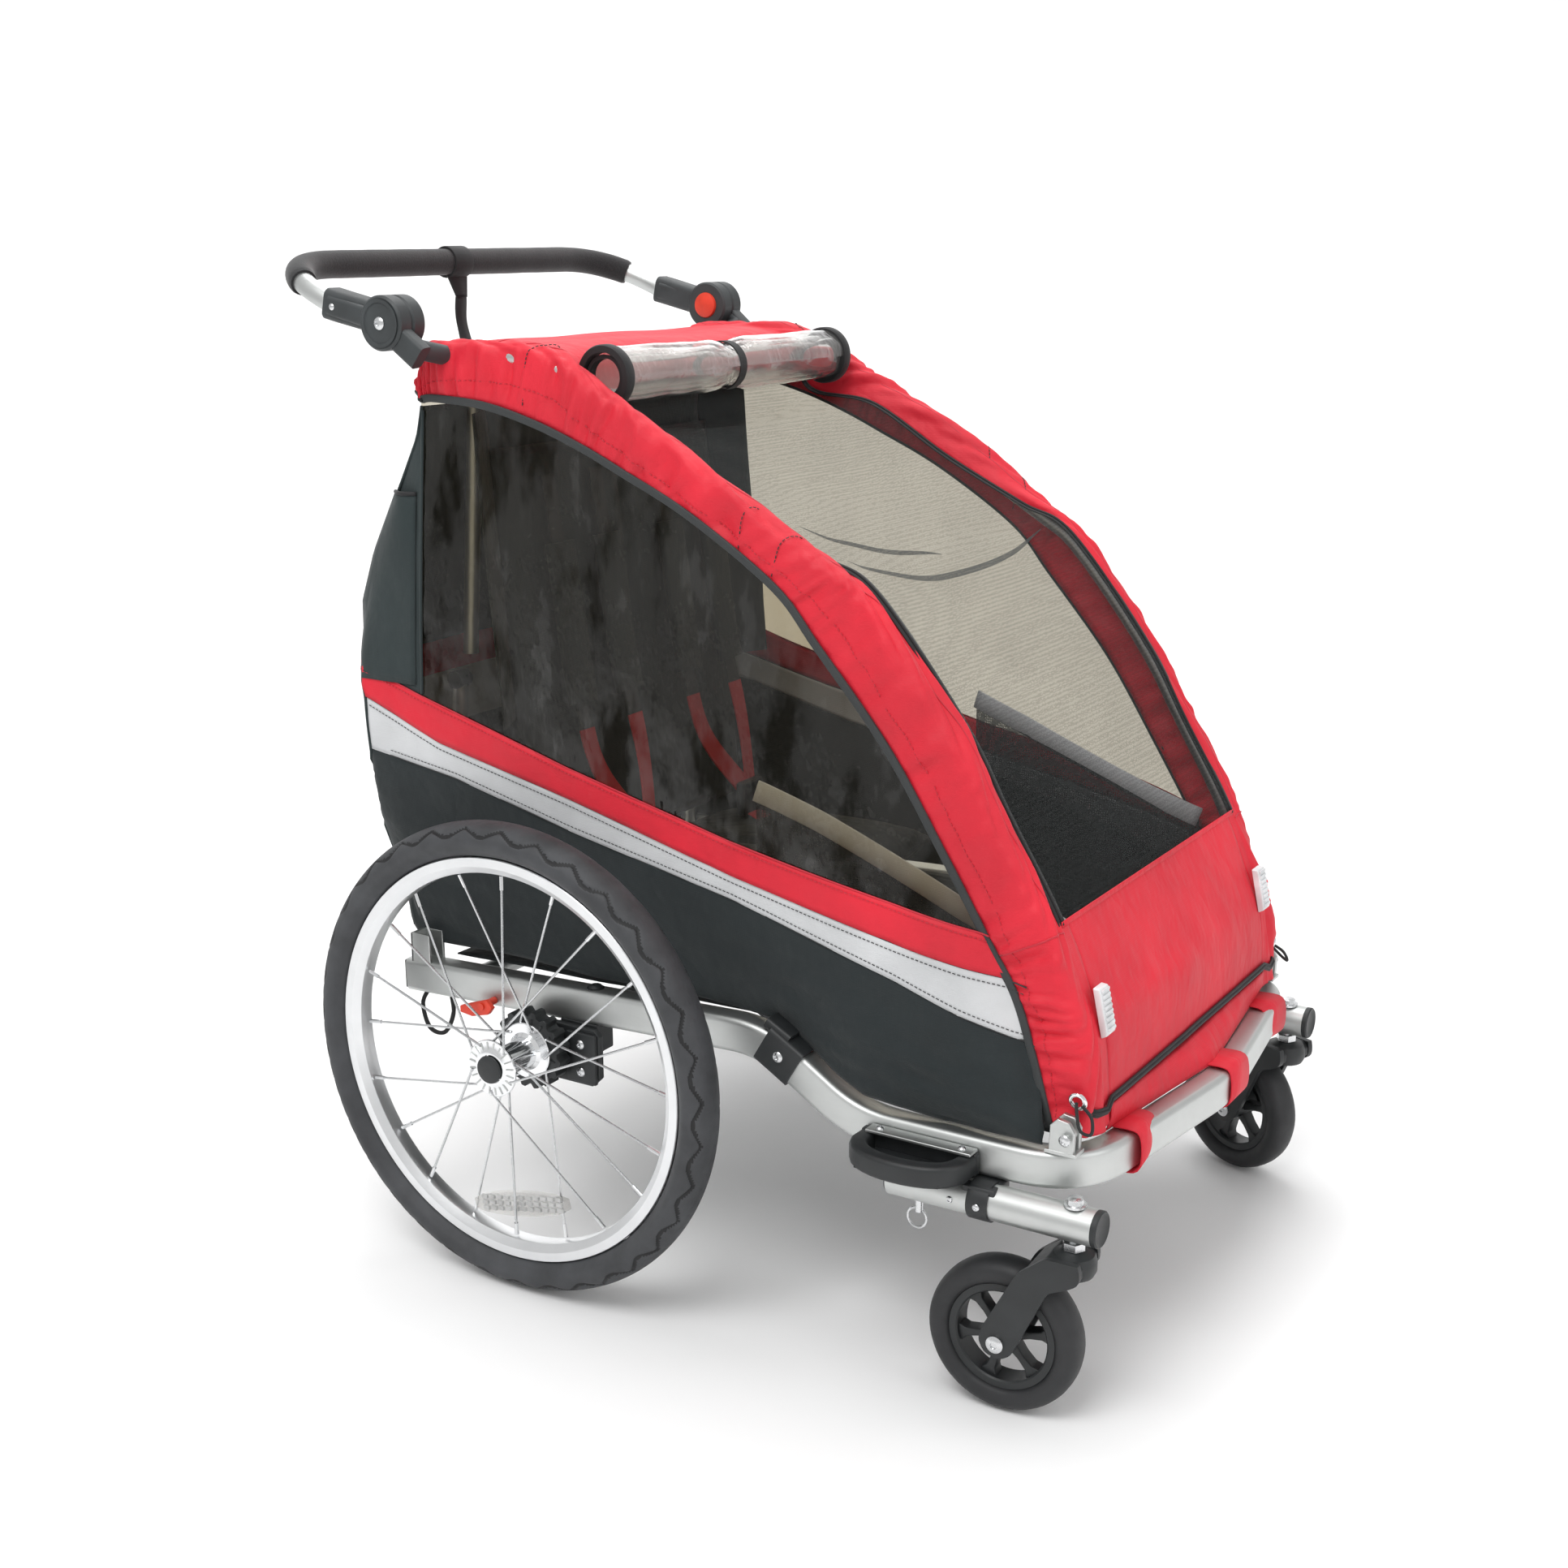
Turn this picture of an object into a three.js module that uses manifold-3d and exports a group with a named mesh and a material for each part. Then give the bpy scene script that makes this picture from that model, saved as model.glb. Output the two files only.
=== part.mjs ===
// Child bicycle trailer in its stroller set-up: a folding two-seat cabin on a bent rail frame,
// two 20-inch wheels, two swivelling casters and a tilting handlebar.
// Millimetres. +X is the travel direction, +Y is the left side, +Z is up, the floor is Z = 0.

import * as THREE from 'three';
import { mergeVertices } from 'three/addons/utils/BufferGeometryUtils.js';
import Module from 'manifold-3d';

const wasm = await Module();
wasm.setup();

const RIGHT = -1;
const LEFT = 1;
const SIDES = [[RIGHT, 'right'], [LEFT, 'left']];
const GAP = 0.3;

// Driving dimensions
const AXLE = { x: -150, z: 248 };
const WHEEL_Y = 343;
const TYRE = { outer: 248, seat: 214.5, halfWidth: 23.5 };
const RIM = { outer: 214, inner: 196, halfWidth: 14 };
const HUB = { barrel: 16, flange: 30, outFace: 31, inFace: -26, stub: 6, stubEnd: -95, button: 11.5 };
const COG = { radius: 42, root: 37, teeth: 16, width: 22 };
const SPOKES = 20;
const STEM = { x: 447, y: 289 };
const CASTER = { radius: 74.8, trail: 62.9, halfWidth: 18, rim: 52.5, spokes: 6 };
const SWIVEL = { right: 3, left: -22 };
const ARM = { z: 199, radius: 17, back: 262, front: 474 };
const RAIL = { y: 266, width: 28, height: 36, dipZ: 234, highZ: 299, rearZ: 281 };
const NOSE_X = 476.2;
const HOOP = { y: 237, radius: 8, sink: 14 };
const FOLD_PIVOT = { x: 430, z: 270 };
const REAR_PIVOT = { x: -325, z: 318, y: 214 };
const TOP_PIVOT = { x: -286, z: 893, y: 196 };
const MID_JOINT = { x: -308, z: 600, clearance: 25 };
const REAR_TUBE = 8;
const HANDLE = { x: -310, y: 285, z: 971, disc: 27, halfThick: 19 };
const SOCKET_END = { x: -388.5, z: 989 };
const GRIP = { x: -473.5, z: 1025, radius: 14.5 };
const HANDLE_BEND = 98;
const BAR_RADIUS = 11;
const BAR_STEPS = 34;
const SKIN = 2.5;
const SIDE_Y = { edge: 253.5, belly: 277 };
const SEAM_Z = 449;

const INK = {
  silver: { color: 0xc9cccf, metalness: 1, roughness: 0.35 },
  steel: { color: 0xb4b7ba, metalness: 1, roughness: 0.25 },
  plastic: { color: 0x1b1c1e, metalness: 0, roughness: 0.5 },
  rubber: { color: 0x202123, metalness: 0, roughness: 0.8 },
  foam: { color: 0x1d1d1f, metalness: 0, roughness: 0.95 },
  redPlastic: { color: 0xd7301f, metalness: 0, roughness: 0.4 },
  redFabric: { color: 0xcc2035, metalness: 0, roughness: 0.75 },
  blackFabric: { color: 0x18201f, metalness: 0, roughness: 0.9 },
  mesh: { color: 0x2a2a28, metalness: 0, roughness: 0.9 },
  window: { color: 0x35322d, metalness: 0, roughness: 0.15 },
  clear: { color: 0xe6e6e2, metalness: 0, roughness: 0.15 },
};

const trailer = new THREE.Group();

function add(name, geometry, ink, parent = trailer) {
  const mesh = new THREE.Mesh(geometry, new THREE.MeshStandardMaterial(INK[ink]));
  mesh.name = name;
  parent.add(mesh);
  return mesh;
}

// ---- Geometry helpers ----

function solid(geometry) {
  const bare = geometry.clone();
  bare.deleteAttribute('normal');
  bare.deleteAttribute('uv');
  const merged = mergeVertices(bare, 1e-3);
  return new wasm.Manifold(new wasm.Mesh({
    numProp: 3,
    vertProperties: new Float32Array(merged.attributes.position.array),
    triVerts: new Uint32Array(merged.index.array),
  }));
}

function meshOf(manifold) {
  const mesh = manifold.getMesh();
  const geometry = new THREE.BufferGeometry();
  geometry.setAttribute('position', new THREE.BufferAttribute(new Float32Array(mesh.vertProperties), 3));
  geometry.setIndex(new THREE.BufferAttribute(new Uint32Array(mesh.triVerts), 1));
  return geometry;
}

const join = (...pieces) => meshOf(pieces.map(solid).reduce((a, b) => a.add(b)));
const cut = (piece, ...tools) => meshOf(tools.map(solid).reduce((a, b) => a.subtract(b), solid(piece)));
const common = (a, b) => meshOf(solid(a).intersect(solid(b)));

function block(x0, x1, y0, y1, z0, z1) {
  const geometry = new THREE.BoxGeometry(Math.abs(x1 - x0), Math.abs(y1 - y0), Math.abs(z1 - z0));
  return geometry.translate((x0 + x1) / 2, (y0 + y1) / 2, (z0 + z1) / 2);
}

// A cylinder along Y from y0 to y1.
function rodY(radius, y0, y1, x = 0, z = 0, sides = 24) {
  const geometry = new THREE.CylinderGeometry(radius, radius, Math.abs(y1 - y0), sides);
  return geometry.translate(x, (y0 + y1) / 2, z);
}

// A cylinder along Z from z0 to z1.
function rodZ(radius, z0, z1, x = 0, y = 0, sides = 20) {
  const geometry = new THREE.CylinderGeometry(radius, radius, z1 - z0, sides).rotateX(Math.PI / 2);
  return geometry.translate(x, y, (z0 + z1) / 2);
}

// A ring turned about Y from a closed [radius, y] outline.
function ringY(outline, sides) {
  const points = outline.map(([r, y]) => new THREE.Vector2(r, y));
  points.push(points[0].clone());
  return new THREE.LatheGeometry(points, sides);
}

function roundSection(radius, sides) {
  const shape = new THREE.Shape();
  for (let i = 0; i < sides; i += 1) {
    const angle = (i / sides) * 2 * Math.PI;
    const method = i ? 'lineTo' : 'moveTo';
    shape[method](radius * Math.cos(angle), radius * Math.sin(angle));
  }
  return shape;
}

function boxSection(width, height, chamfer) {
  const w = width / 2;
  const h = height / 2;
  const corners = [[-w + chamfer, -h], [w - chamfer, -h], [w, -h + chamfer], [w, h - chamfer],
    [w - chamfer, h], [-w + chamfer, h], [-w, h - chamfer], [-w, -h + chamfer]];
  return new THREE.Shape(corners.map(([x, y]) => new THREE.Vector2(x, y)));
}

// Straight runs joined by rounded corners: each point is [x, y, z, bend length].
function bentPath(points) {
  const at = points.map(([x, y, z]) => new THREE.Vector3(x, y, z));
  const path = new THREE.CurvePath();
  let from = at[0];
  for (let i = 1; i < at.length - 1; i += 1) {
    const bend = points[i][3];
    const before = at[i].clone().add(at[i - 1].clone().sub(at[i]).setLength(bend));
    const after = at[i].clone().add(at[i + 1].clone().sub(at[i]).setLength(bend));
    path.add(new THREE.LineCurve3(from, before));
    path.add(new THREE.QuadraticBezierCurve3(before, at[i], after));
    from = after;
  }
  path.add(new THREE.LineCurve3(from, at[at.length - 1]));
  return path;
}

function sweep(path, section, steps) {
  return new THREE.ExtrudeGeometry(section, { steps, extrudePath: path, bevelEnabled: false });
}

// The same curve with a share of its length left off at each end.
function middleOf(path, share) {
  const part = new THREE.Curve();
  part.getPoint = (t) => path.getPointAt(share + (1 - 2 * share) * t);
  return part;
}

const straight = (a, b) => new THREE.LineCurve3(new THREE.Vector3(...a), new THREE.Vector3(...b));
const smooth = (points) => new THREE.CatmullRomCurve3(points.map((p) => new THREE.Vector3(...p)));

// An outline in the X-Z plane given depth in Y, from y0 to y1.
function plateXZ(outline, y0, y1) {
  const shape = new THREE.Shape(outline.map(([x, z]) => new THREE.Vector2(x, z)));
  const geometry = new THREE.ExtrudeGeometry(shape, { depth: Math.abs(y1 - y0), bevelEnabled: false });
  return geometry.rotateX(Math.PI / 2).translate(0, Math.max(y0, y1), 0);
}

// An outline in the X-Y plane given height in Z, from z0 to z1.
function plateXY(outline, z0, z1) {
  const shape = new THREE.Shape(outline.map(([x, y]) => new THREE.Vector2(x, y)));
  return new THREE.ExtrudeGeometry(shape, { depth: z1 - z0, bevelEnabled: false }).translate(0, 0, z0);
}

// A closed thin solid: the surface(u, v) and a copy of it set back by the thickness along its normal.
function skin(surface, thickness, nu, nv) {
  const step = 1e-3;
  const vertices = [];
  for (const back of [0, thickness]) {
    for (let i = 0; i <= nu; i += 1) {
      for (let j = 0; j <= nv; j += 1) {
        const u = i / nu;
        const v = j / nv;
        const du = surface(Math.min(u + step, 1), v).sub(surface(Math.max(u - step, 0), v));
        const dv = surface(u, Math.min(v + step, 1)).sub(surface(u, Math.max(v - step, 0)));
        const normal = du.cross(dv).normalize();
        vertices.push(...surface(u, v).addScaledVector(normal, back).toArray());
      }
    }
  }
  const row = nv + 1;
  const sheet = (nu + 1) * row;
  const index = [];
  const quad = (a, b, c, d) => index.push(a, b, c, a, c, d);
  for (let i = 0; i < nu; i += 1) {
    for (let j = 0; j < nv; j += 1) {
      const a = i * row + j;
      quad(a, a + 1, a + row + 1, a + row);
      quad(sheet + a, sheet + a + row, sheet + a + row + 1, sheet + a + 1);
    }
    quad(i * row, (i + 1) * row, sheet + (i + 1) * row, sheet + i * row);
    quad((i + 1) * row + nv, i * row + nv, sheet + i * row + nv, sheet + (i + 1) * row + nv);
  }
  for (let j = 0; j < nv; j += 1) {
    quad(j + 1, j, sheet + j, sheet + j + 1);
    quad(nu * row + j, nu * row + j + 1, sheet + nu * row + j + 1, sheet + nu * row + j);
  }
  const geometry = new THREE.BufferGeometry();
  geometry.setAttribute('position', new THREE.BufferAttribute(new Float32Array(vertices), 3));
  geometry.setIndex(index);
  return outward(geometry);
}

// Turns every face over where the solid is inside out.
function outward(geometry) {
  const p = geometry.attributes.position;
  const index = geometry.index.array;
  const [a, b, c] = [new THREE.Vector3(), new THREE.Vector3(), new THREE.Vector3()];
  let volume = 0;
  for (let i = 0; i < index.length; i += 3) {
    a.fromBufferAttribute(p, index[i]);
    b.fromBufferAttribute(p, index[i + 1]);
    c.fromBufferAttribute(p, index[i + 2]);
    volume += a.dot(b.cross(c));
  }
  if (volume > 0) return geometry;
  for (let i = 0; i < index.length; i += 3) [index[i], index[i + 1]] = [index[i + 1], index[i]];
  return geometry;
}

// ---- Chassis ----

function chassisFrame() {
  const { y, rearZ, highZ, dipZ } = RAIL;
  const half = [
    [-345, y, rearZ], [110, y, highZ, 40], [212, y, dipZ, 40], [440, y, dipZ, 62],
  ];
  const path = bentPath([
    ...half.map(([x, , z, bend]) => [x, -y, z, bend]),
    [NOSE_X, 0, dipZ, 40],
    ...half.reverse().map(([x, , z, bend]) => [x, y, z, bend]),
  ]);
  return sweep(path, boxSection(RAIL.width, RAIL.height, 5), 64);
}

function buildChassis() {
  const inside = RAIL.y - RAIL.width / 2 - GAP;
  const brackets = SIDES.map(([side]) => block(-338, -312, side * 253, side * 278, 290, 330));
  add('chassis_frame', join(chassisFrame(), ...brackets), 'silver');
  add('rear_cross_tube', rodY(11, -inside, inside, -285, 275), 'silver');
  add('front_cross_tube', rodY(10, -inside, inside, 130, 288), 'silver');
  const axleOutline = [[7, -280.5], [12.5, -280.5], [12.5, 280.5], [7, 280.5]];
  add('axle_tube', ringY(axleOutline, 20).translate(AXLE.x, 0, AXLE.z), 'silver');
}

function buildChassisSide(side, name) {
  const s = (y) => side * y;
  const bracket = cut(
    block(-178, -80, s(281), s(288.5), 210, 272),
    rodY(7.2, s(279), s(291), AXLE.x, AXLE.z),
  );
  add(`axle_bracket_${name}`, bracket, 'plastic');
  const lever = join(
    plateXZ([[-250, 262], [-214, 268], [-208, 276], [-216, 284], [-252, 270]], s(296), s(302)),
    rodY(4, s(280.6), s(297), -222, 276, 12),
  );
  add(`brake_lever_${name}`, lever, 'redPlastic');

  // The step bumper is a half-round hoop with a bar across it, beside the dip of the rail.
  const [inner, outer] = [s(280.6), s(345)];
  const bow = (x0, x1, depth) => {
    const points = [];
    for (let i = 0; i <= 10; i += 1) {
      const angle = (i / 10) * Math.PI;
      const x = (x0 + x1) / 2 - ((x1 - x0) / 2) * Math.cos(angle);
      points.push([x, inner + side * depth * Math.sin(angle) ** 0.6]);
    }
    return points;
  };
  const bumper = cut(
    plateXY(bow(226, 350, Math.abs(outer - inner)), 219, 241),
    plateXY(bow(246, 330, 44).map(([x, y]) => [x, y + side * 6]), 217, 243),
  );
  add(`side_bumper_${name}`, bumper, 'plastic');

  const arm = cut(
    rodY(ARM.radius, ARM.back, ARM.front, 0, 0, 20).rotateZ(-Math.PI / 2).translate(0, s(STEM.y), ARM.z),
    rodZ(5.3, ARM.z - 30, ARM.z + 30, STEM.x, s(STEM.y)),
    rodZ(4.3, ARM.z - 30, ARM.z, 290, s(STEM.y)),
  );
  add(`caster_arm_${name}`, arm, 'silver');
  const bolt = join(
    rodZ(5, 176, 220, STEM.x, s(STEM.y), 12),
    rodZ(9, 217, 223, STEM.x, s(STEM.y), 12),
    rodZ(10, 174, 181, STEM.x, s(STEM.y), 6),
  );
  add(`caster_bolt_${name}`, bolt, 'steel');
  const pin = join(
    rodZ(4, 170, 192, 290, s(STEM.y), 12),
    block(276, 300, s(STEM.y) - 3, s(STEM.y) + 3, 166, 171),
  );
  add(`release_pin_${name}`, pin, 'steel');

  const pivot = join(
    block(412, 436, s(254), s(274), RAIL.dipZ + RAIL.height / 2 + GAP, 288),
    rodY(4, s(HOOP.y + HOOP.radius + 6.2), s(279), FOLD_PIVOT.x, FOLD_PIVOT.z, 12),
  );
  add(`hoop_pivot_${name}`, pivot, 'silver');
}

// ---- Wheels ----

// One 20-inch wheel about its own centre; its outboard side is local +Y.
function buildWheel(name, group) {
  const tyre = ringY([[TYRE.seat, -12], [221, -20], [230, -TYRE.halfWidth], [239, -19], [TYRE.outer, 0],
    [239, 19], [230, TYRE.halfWidth], [221, 20], [TYRE.seat, 12]], 36);
  add(`tyre_${name}`, tyre, 'rubber', group);
  const rim = ringY([[RIM.inner, -7], [204, -RIM.halfWidth], [RIM.outer, -RIM.halfWidth],
    [RIM.outer, RIM.halfWidth], [204, RIM.halfWidth], [RIM.inner, 7]], 36);
  add(`rim_${name}`, rim, 'silver', group);

  const spokes = [];
  for (let i = 0; i < SPOKES; i += 1) {
    const atRim = (i / SPOKES) * 2 * Math.PI;
    const lace = (i % 4 < 2 ? 1 : -1) * 0.75;
    const y = i % 2 ? HUB.outFace - 2 : HUB.inFace + 2;
    const reach = RIM.inner - 2;
    const root = [(HUB.flange - 5) * Math.cos(atRim + lace), y, (HUB.flange - 5) * Math.sin(atRim + lace)];
    const tip = [reach * Math.cos(atRim), i % 2 ? 3 : -3, reach * Math.sin(atRim)];
    spokes.push(sweep(straight(root, tip), roundSection(1.2, 3), 1));
  }
  const hub = join(
    rodY(HUB.barrel, HUB.inFace, HUB.outFace, 0, 0, 14),
    rodY(HUB.flange, HUB.outFace - 3, HUB.outFace, 0, 0, 16),
    rodY(HUB.flange, HUB.inFace, HUB.inFace + 3, 0, 0, 16),
    rodY(HUB.stub, HUB.stubEnd, HUB.inFace, 0, 0, 10),
    ...spokes,
  );
  add(`hub_${name}`, hub, 'silver', group);

  const teeth = [];
  for (let i = 0; i < COG.teeth * 2; i += 1) {
    const radius = i % 2 ? COG.radius : COG.root;
    for (const shift of [-0.3, 0.3]) {
      const angle = ((i + shift) / COG.teeth) * Math.PI;
      teeth.push([radius * Math.cos(angle), radius * Math.sin(angle)]);
    }
  }
  const cogBack = HUB.inFace - GAP;
  const cog = cut(plateXZ(teeth, cogBack - COG.width, cogBack), rodY(HUB.stub + GAP, -60, 0, 0, 0, 16));
  add(`brake_cog_${name}`, cog, 'plastic', group);
  const button = rodY(HUB.button, HUB.outFace + 2.8, HUB.outFace + 7, 0, 0, 20);
  add(`axle_button_${name}`, button, 'plastic', group);
}

// One caster fork and wheel about the stem's axis, trailing along local -X.
function buildCaster(name, group) {
  const half = CASTER.halfWidth;
  const outline = [[26, 171], [-20, 171], [-44, 150], [-76, 88], [-79, 75], [-71, 63], [-58, 60],
    [-47, 68], [-14, 140], [26, 147]];
  const fork = cut(
    plateXZ(outline, -half - 9, half + 9),
    plateXZ([[40, 60], [40, 146], [-24, 150], [-34, 154], [-110, 130], [-110, 40]], -half - 2.5, half + 2.5),
  );
  const held = join(
    fork,
    rodZ(7, 168, 173.6),
    rodY(4.5, -half - 6, half + 6, -CASTER.trail, CASTER.radius, 12),
    rodY(8, -half - 13, -half - 8, -CASTER.trail, CASTER.radius, 12),
    rodY(8, half + 8, half + 13, -CASTER.trail, CASTER.radius, 12),
  );
  add(`caster_fork_${name}`, held, 'plastic', group);

  const wheel = new THREE.Group();
  wheel.position.set(-CASTER.trail, 0, CASTER.radius);
  group.add(wheel);
  const { radius, rim } = CASTER;
  const tread = ringY([[rim + GAP, -half + 4], [62, -half], [70, -half + 3], [radius, -6],
    [radius, 6], [70, half - 3], [62, half], [rim + GAP, half - 4]], 28);
  add(`caster_tyre_${name}`, tread, 'rubber', wheel);
  const bars = [];
  for (let i = 0; i < CASTER.spokes; i += 1) {
    bars.push(block(10, 47, -6, 6, -4, 4).rotateY((i / CASTER.spokes) * 2 * Math.PI));
  }
  const hub = cut(
    join(
      ringY([[45, -12], [rim, -12], [rim, 12], [45, 12]], 28),
      rodY(14, -half + 1, half - 1, 0, 0, 16),
      ...bars,
    ),
    rodY(5, -30, 30, 0, 0, 10),
  );
  add(`caster_wheel_${name}`, hub, 'plastic', wheel);
}

function placeWheels() {
  for (const [side, name] of SIDES) {
    const wheel = new THREE.Group();
    wheel.position.set(AXLE.x, side * WHEEL_Y, AXLE.z);
    wheel.rotation.z = side === RIGHT ? Math.PI : 0;
    trailer.add(wheel);
    buildWheel(name, wheel);

    const fork = new THREE.Group();
    fork.position.set(STEM.x, side * STEM.y, 0);
    fork.rotation.z = THREE.MathUtils.degToRad(SWIVEL[name]);
    trailer.add(fork);
    buildCaster(name, fork);
  }
}

// ---- Cabin frame ----

// Stations along the hood from its rear hem to its front feet, in X and Z: the crown over the hoop,
// the piped hem on the side, and the edge that the roof, the screen and the front panel share.
const STATIONS = [
  { crown: [-318, 902], hem: [-305, 893], edge: [-318, 902] },
  { crown: [-307, 938], hem: [-303, 895], edge: [-307, 938] },
  { crown: [-285, 950], hem: [-285, 896], edge: [-285, 948] },
  { crown: [-215, 953], hem: [-224, 891], edge: [-215, 949] },
  { crown: [-142, 943], hem: [-163, 876], edge: [-162, 934] },
  { crown: [-88, 911], hem: [-110, 857], edge: [-132, 880] },
  { crown: [-35, 882], hem: [-60, 835], edge: [-50, 866] },
  { crown: [59, 824], hem: [20, 797], edge: [45, 811] },
  { crown: [160, 764], hem: [112, 738], edge: [137, 765] },
  { crown: [209, 728], hem: [158, 687], edge: [198, 736] },
  { crown: [290, 628], hem: [232, 600], edge: [290, 624] },
  { crown: [340, 545], hem: [292, 508], edge: [338, 543] },
  { crown: [390, 459], hem: [340, 430], edge: [390, 456] },
  { crown: [420, 386], hem: [366, 388], edge: [421, 384] },
  { crown: [437, 342], hem: [384, 337], edge: [436, 341] },
  { crown: [443, 262], hem: [404, 268], edge: [442, 262] },
];
const line = (key) => smooth(STATIONS.map((station) => [station[key][0], 0, station[key][1]]));
const CROWN = line('crown');
const HEM = line('hem');
const EDGE = line('edge');

// The hood's cross-section from its right hem to its left one: distance from the middle, then how
// far the point has gone from the crown towards the hem (millimetres) or the edge (a share).
const HOOD_SECTION = [
  { y: 251.5, hem: Infinity }, { y: 251.5, hem: 30 }, { y: 249, hem: 8 }, { y: 243, hem: 1.5 },
  { y: 237, edge: 0 }, { y: 231, edge: 0.06 }, { y: 225, edge: 0.3 }, { y: 219.5, edge: 1 },
  { y: 110, edge: 1 }, { y: 0, edge: 1 },
];
const HOOD_ROW = [
  ...HOOD_SECTION.map((p) => ({ ...p, y: -p.y })),
  ...HOOD_SECTION.slice(0, -1).reverse(),
];

function hoodPoint(u, knot) {
  const crown = CROWN.getPoint(u);
  const target = knot.hem === undefined ? EDGE.getPoint(u) : HEM.getPoint(u);
  const length = crown.distanceTo(target);
  const share = knot.hem === undefined ? knot.edge : Math.min(1, knot.hem / length);
  return crown.lerp(target, share).setY(knot.y);
}

function hoodSurface(u, v) {
  const place = v * (HOOD_ROW.length - 1);
  const k = Math.min(Math.floor(place), HOOD_ROW.length - 2);
  return hoodPoint(u, HOOD_ROW[k]).lerp(hoodPoint(u, HOOD_ROW[k + 1]), place - k);
}

function hoopPath(side) {
  const points = [];
  for (let i = 1; i <= 28; i += 1) {
    const u = 0.03 + (i / 28) * 0.97;
    const at = CROWN.getPoint(u);
    const run = CROWN.getTangent(u);
    points.push([at.x + run.z * HOOP.sink, side * HOOP.y, at.z - run.x * HOOP.sink]);
  }
  return smooth(points);
}

function handleArm(side, radius) {
  const out = side * (HANDLE.y + 9);
  const path = bentPath([
    [HANDLE.x, out, HANDLE.z], [-280, side * 290, 947, 12], [-276, side * (HOOP.y + HOOP.radius + 0.8), 938],
  ]);
  return sweep(path, roundSection(radius, 12), 10);
}

function buildCage() {
  const between = HOOP.y - HOOP.radius - 0.5;
  add('roof_bar_rear', rodY(8, -between, between, -292, 925, 16), 'silver');
  add('roof_bar_front', rodY(7, -between, between, -185, 926, 16), 'silver');
  for (const [side, name] of SIDES) {
    add(`cabin_hoop_${name}`, sweep(hoopPath(side), roundSection(HOOP.radius, 8), 30), 'silver');
    const half = side * HANDLE.halfThick;
    const middle = side * HANDLE.y;
    const bracket = join(
      cut(handleArm(side, 10), rodY(HANDLE.disc + 1.2, middle + side * GAP, middle - half * 1.3, HANDLE.x, HANDLE.z)),
      rodY(HANDLE.disc, middle + side * GAP, middle + half, HANDLE.x, HANDLE.z),
      rodY(7, middle + half - side, middle + half + side * 3, HANDLE.x, HANDLE.z, 12),
    );
    add(`handle_bracket_${name}`, bracket, 'plastic');
  }
}

function buildRearFrame() {
  const legTop = [MID_JOINT.x, MID_JOINT.z];
  for (const [side, name] of SIDES) {
    const y = side * REAR_PIVOT.y;
    const leg = join(
      sweep(straight([REAR_PIVOT.x, y, REAR_PIVOT.z - 6], [legTop[0], y, legTop[1]]), roundSection(REAR_TUBE, 12), 1),
      rodY(4, y, side * 252.6, REAR_PIVOT.x, REAR_PIVOT.z, 12),
    );
    add(`rear_leg_${name}`, leg, 'silver');
  }
  const foot = [MID_JOINT.x, MID_JOINT.z + MID_JOINT.clearance];
  const legs = SIDES.map(([side]) => {
    const y = side * TOP_PIVOT.y;
    return sweep(straight([TOP_PIVOT.x, y, TOP_PIVOT.z], [foot[0], y, foot[1]]), roundSection(REAR_TUBE, 12), 1);
  });
  const bar = rodY(REAR_TUBE, -TOP_PIVOT.y - 6, TOP_PIVOT.y + 6, TOP_PIVOT.x, TOP_PIVOT.z, 16);
  add('rear_frame_upper', join(bar, ...legs), 'silver');
}

// ---- Handlebar ----

function buildHandle() {
  const corner = [GRIP.x, 292, GRIP.z];
  const socket = [SOCKET_END.x + 12.9, HANDLE.y - 1.1, SOCKET_END.z - 5.4];
  const mirrored = ([x, y, z]) => [x, -y, z];
  const barPath = bentPath([mirrored(socket), [...mirrored(corner), HANDLE_BEND], [...corner, HANDLE_BEND], socket]);
  add('handlebar', sweep(barPath, roundSection(BAR_RADIUS, 10), BAR_STEPS), 'silver');
  const foam = cut(
    sweep(middleOf(barPath, 0.09), roundSection(GRIP.radius, 10), BAR_STEPS - 4),
    sweep(barPath, roundSection(BAR_RADIUS + 0.6, 10), BAR_STEPS),
  );
  add('handle_grip', foam, 'foam');
  for (const [side, name] of SIDES) {
    const middle = side * HANDLE.y;
    const half = side * HANDLE.halfThick;
    const arm = cut(
      sweep(straight([HANDLE.x, middle, HANDLE.z], [SOCKET_END.x, middle, SOCKET_END.z]), roundSection(15, 16), 1),
      rodY(HANDLE.disc + 1.2, middle - side * GAP, middle + half * 1.3, HANDLE.x, HANDLE.z),
      sweep(barPath, roundSection(BAR_RADIUS + 0.6, 10), BAR_STEPS),
    );
    const joint = cut(
      join(arm, rodY(HANDLE.disc, middle - half, middle - side * GAP, HANDLE.x, HANDLE.z)),
      rodY(15.4, middle - half * 1.2, middle - half + side * 4.5, HANDLE.x, HANDLE.z),
    );
    add(`handle_joint_${name}`, joint, 'plastic');
    const face = middle - half;
    add(`handle_button_${name}`, rodY(15, face - side * 4, face + side * 0.5, HANDLE.x, HANDLE.z), 'redPlastic');
  }
  const strap = smooth([[-470, 0, 1009.5], [-467, 0, 955], [-446, 0, 910], [-398, 0, 889], [-327, 0, 891]]);
  add('handle_strap', skin((u, v) => strap.getPoint(u).setY(24 * v - 12), 2, 12, 1), 'blackFabric');
}

// ---- Soft parts ----

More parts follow.
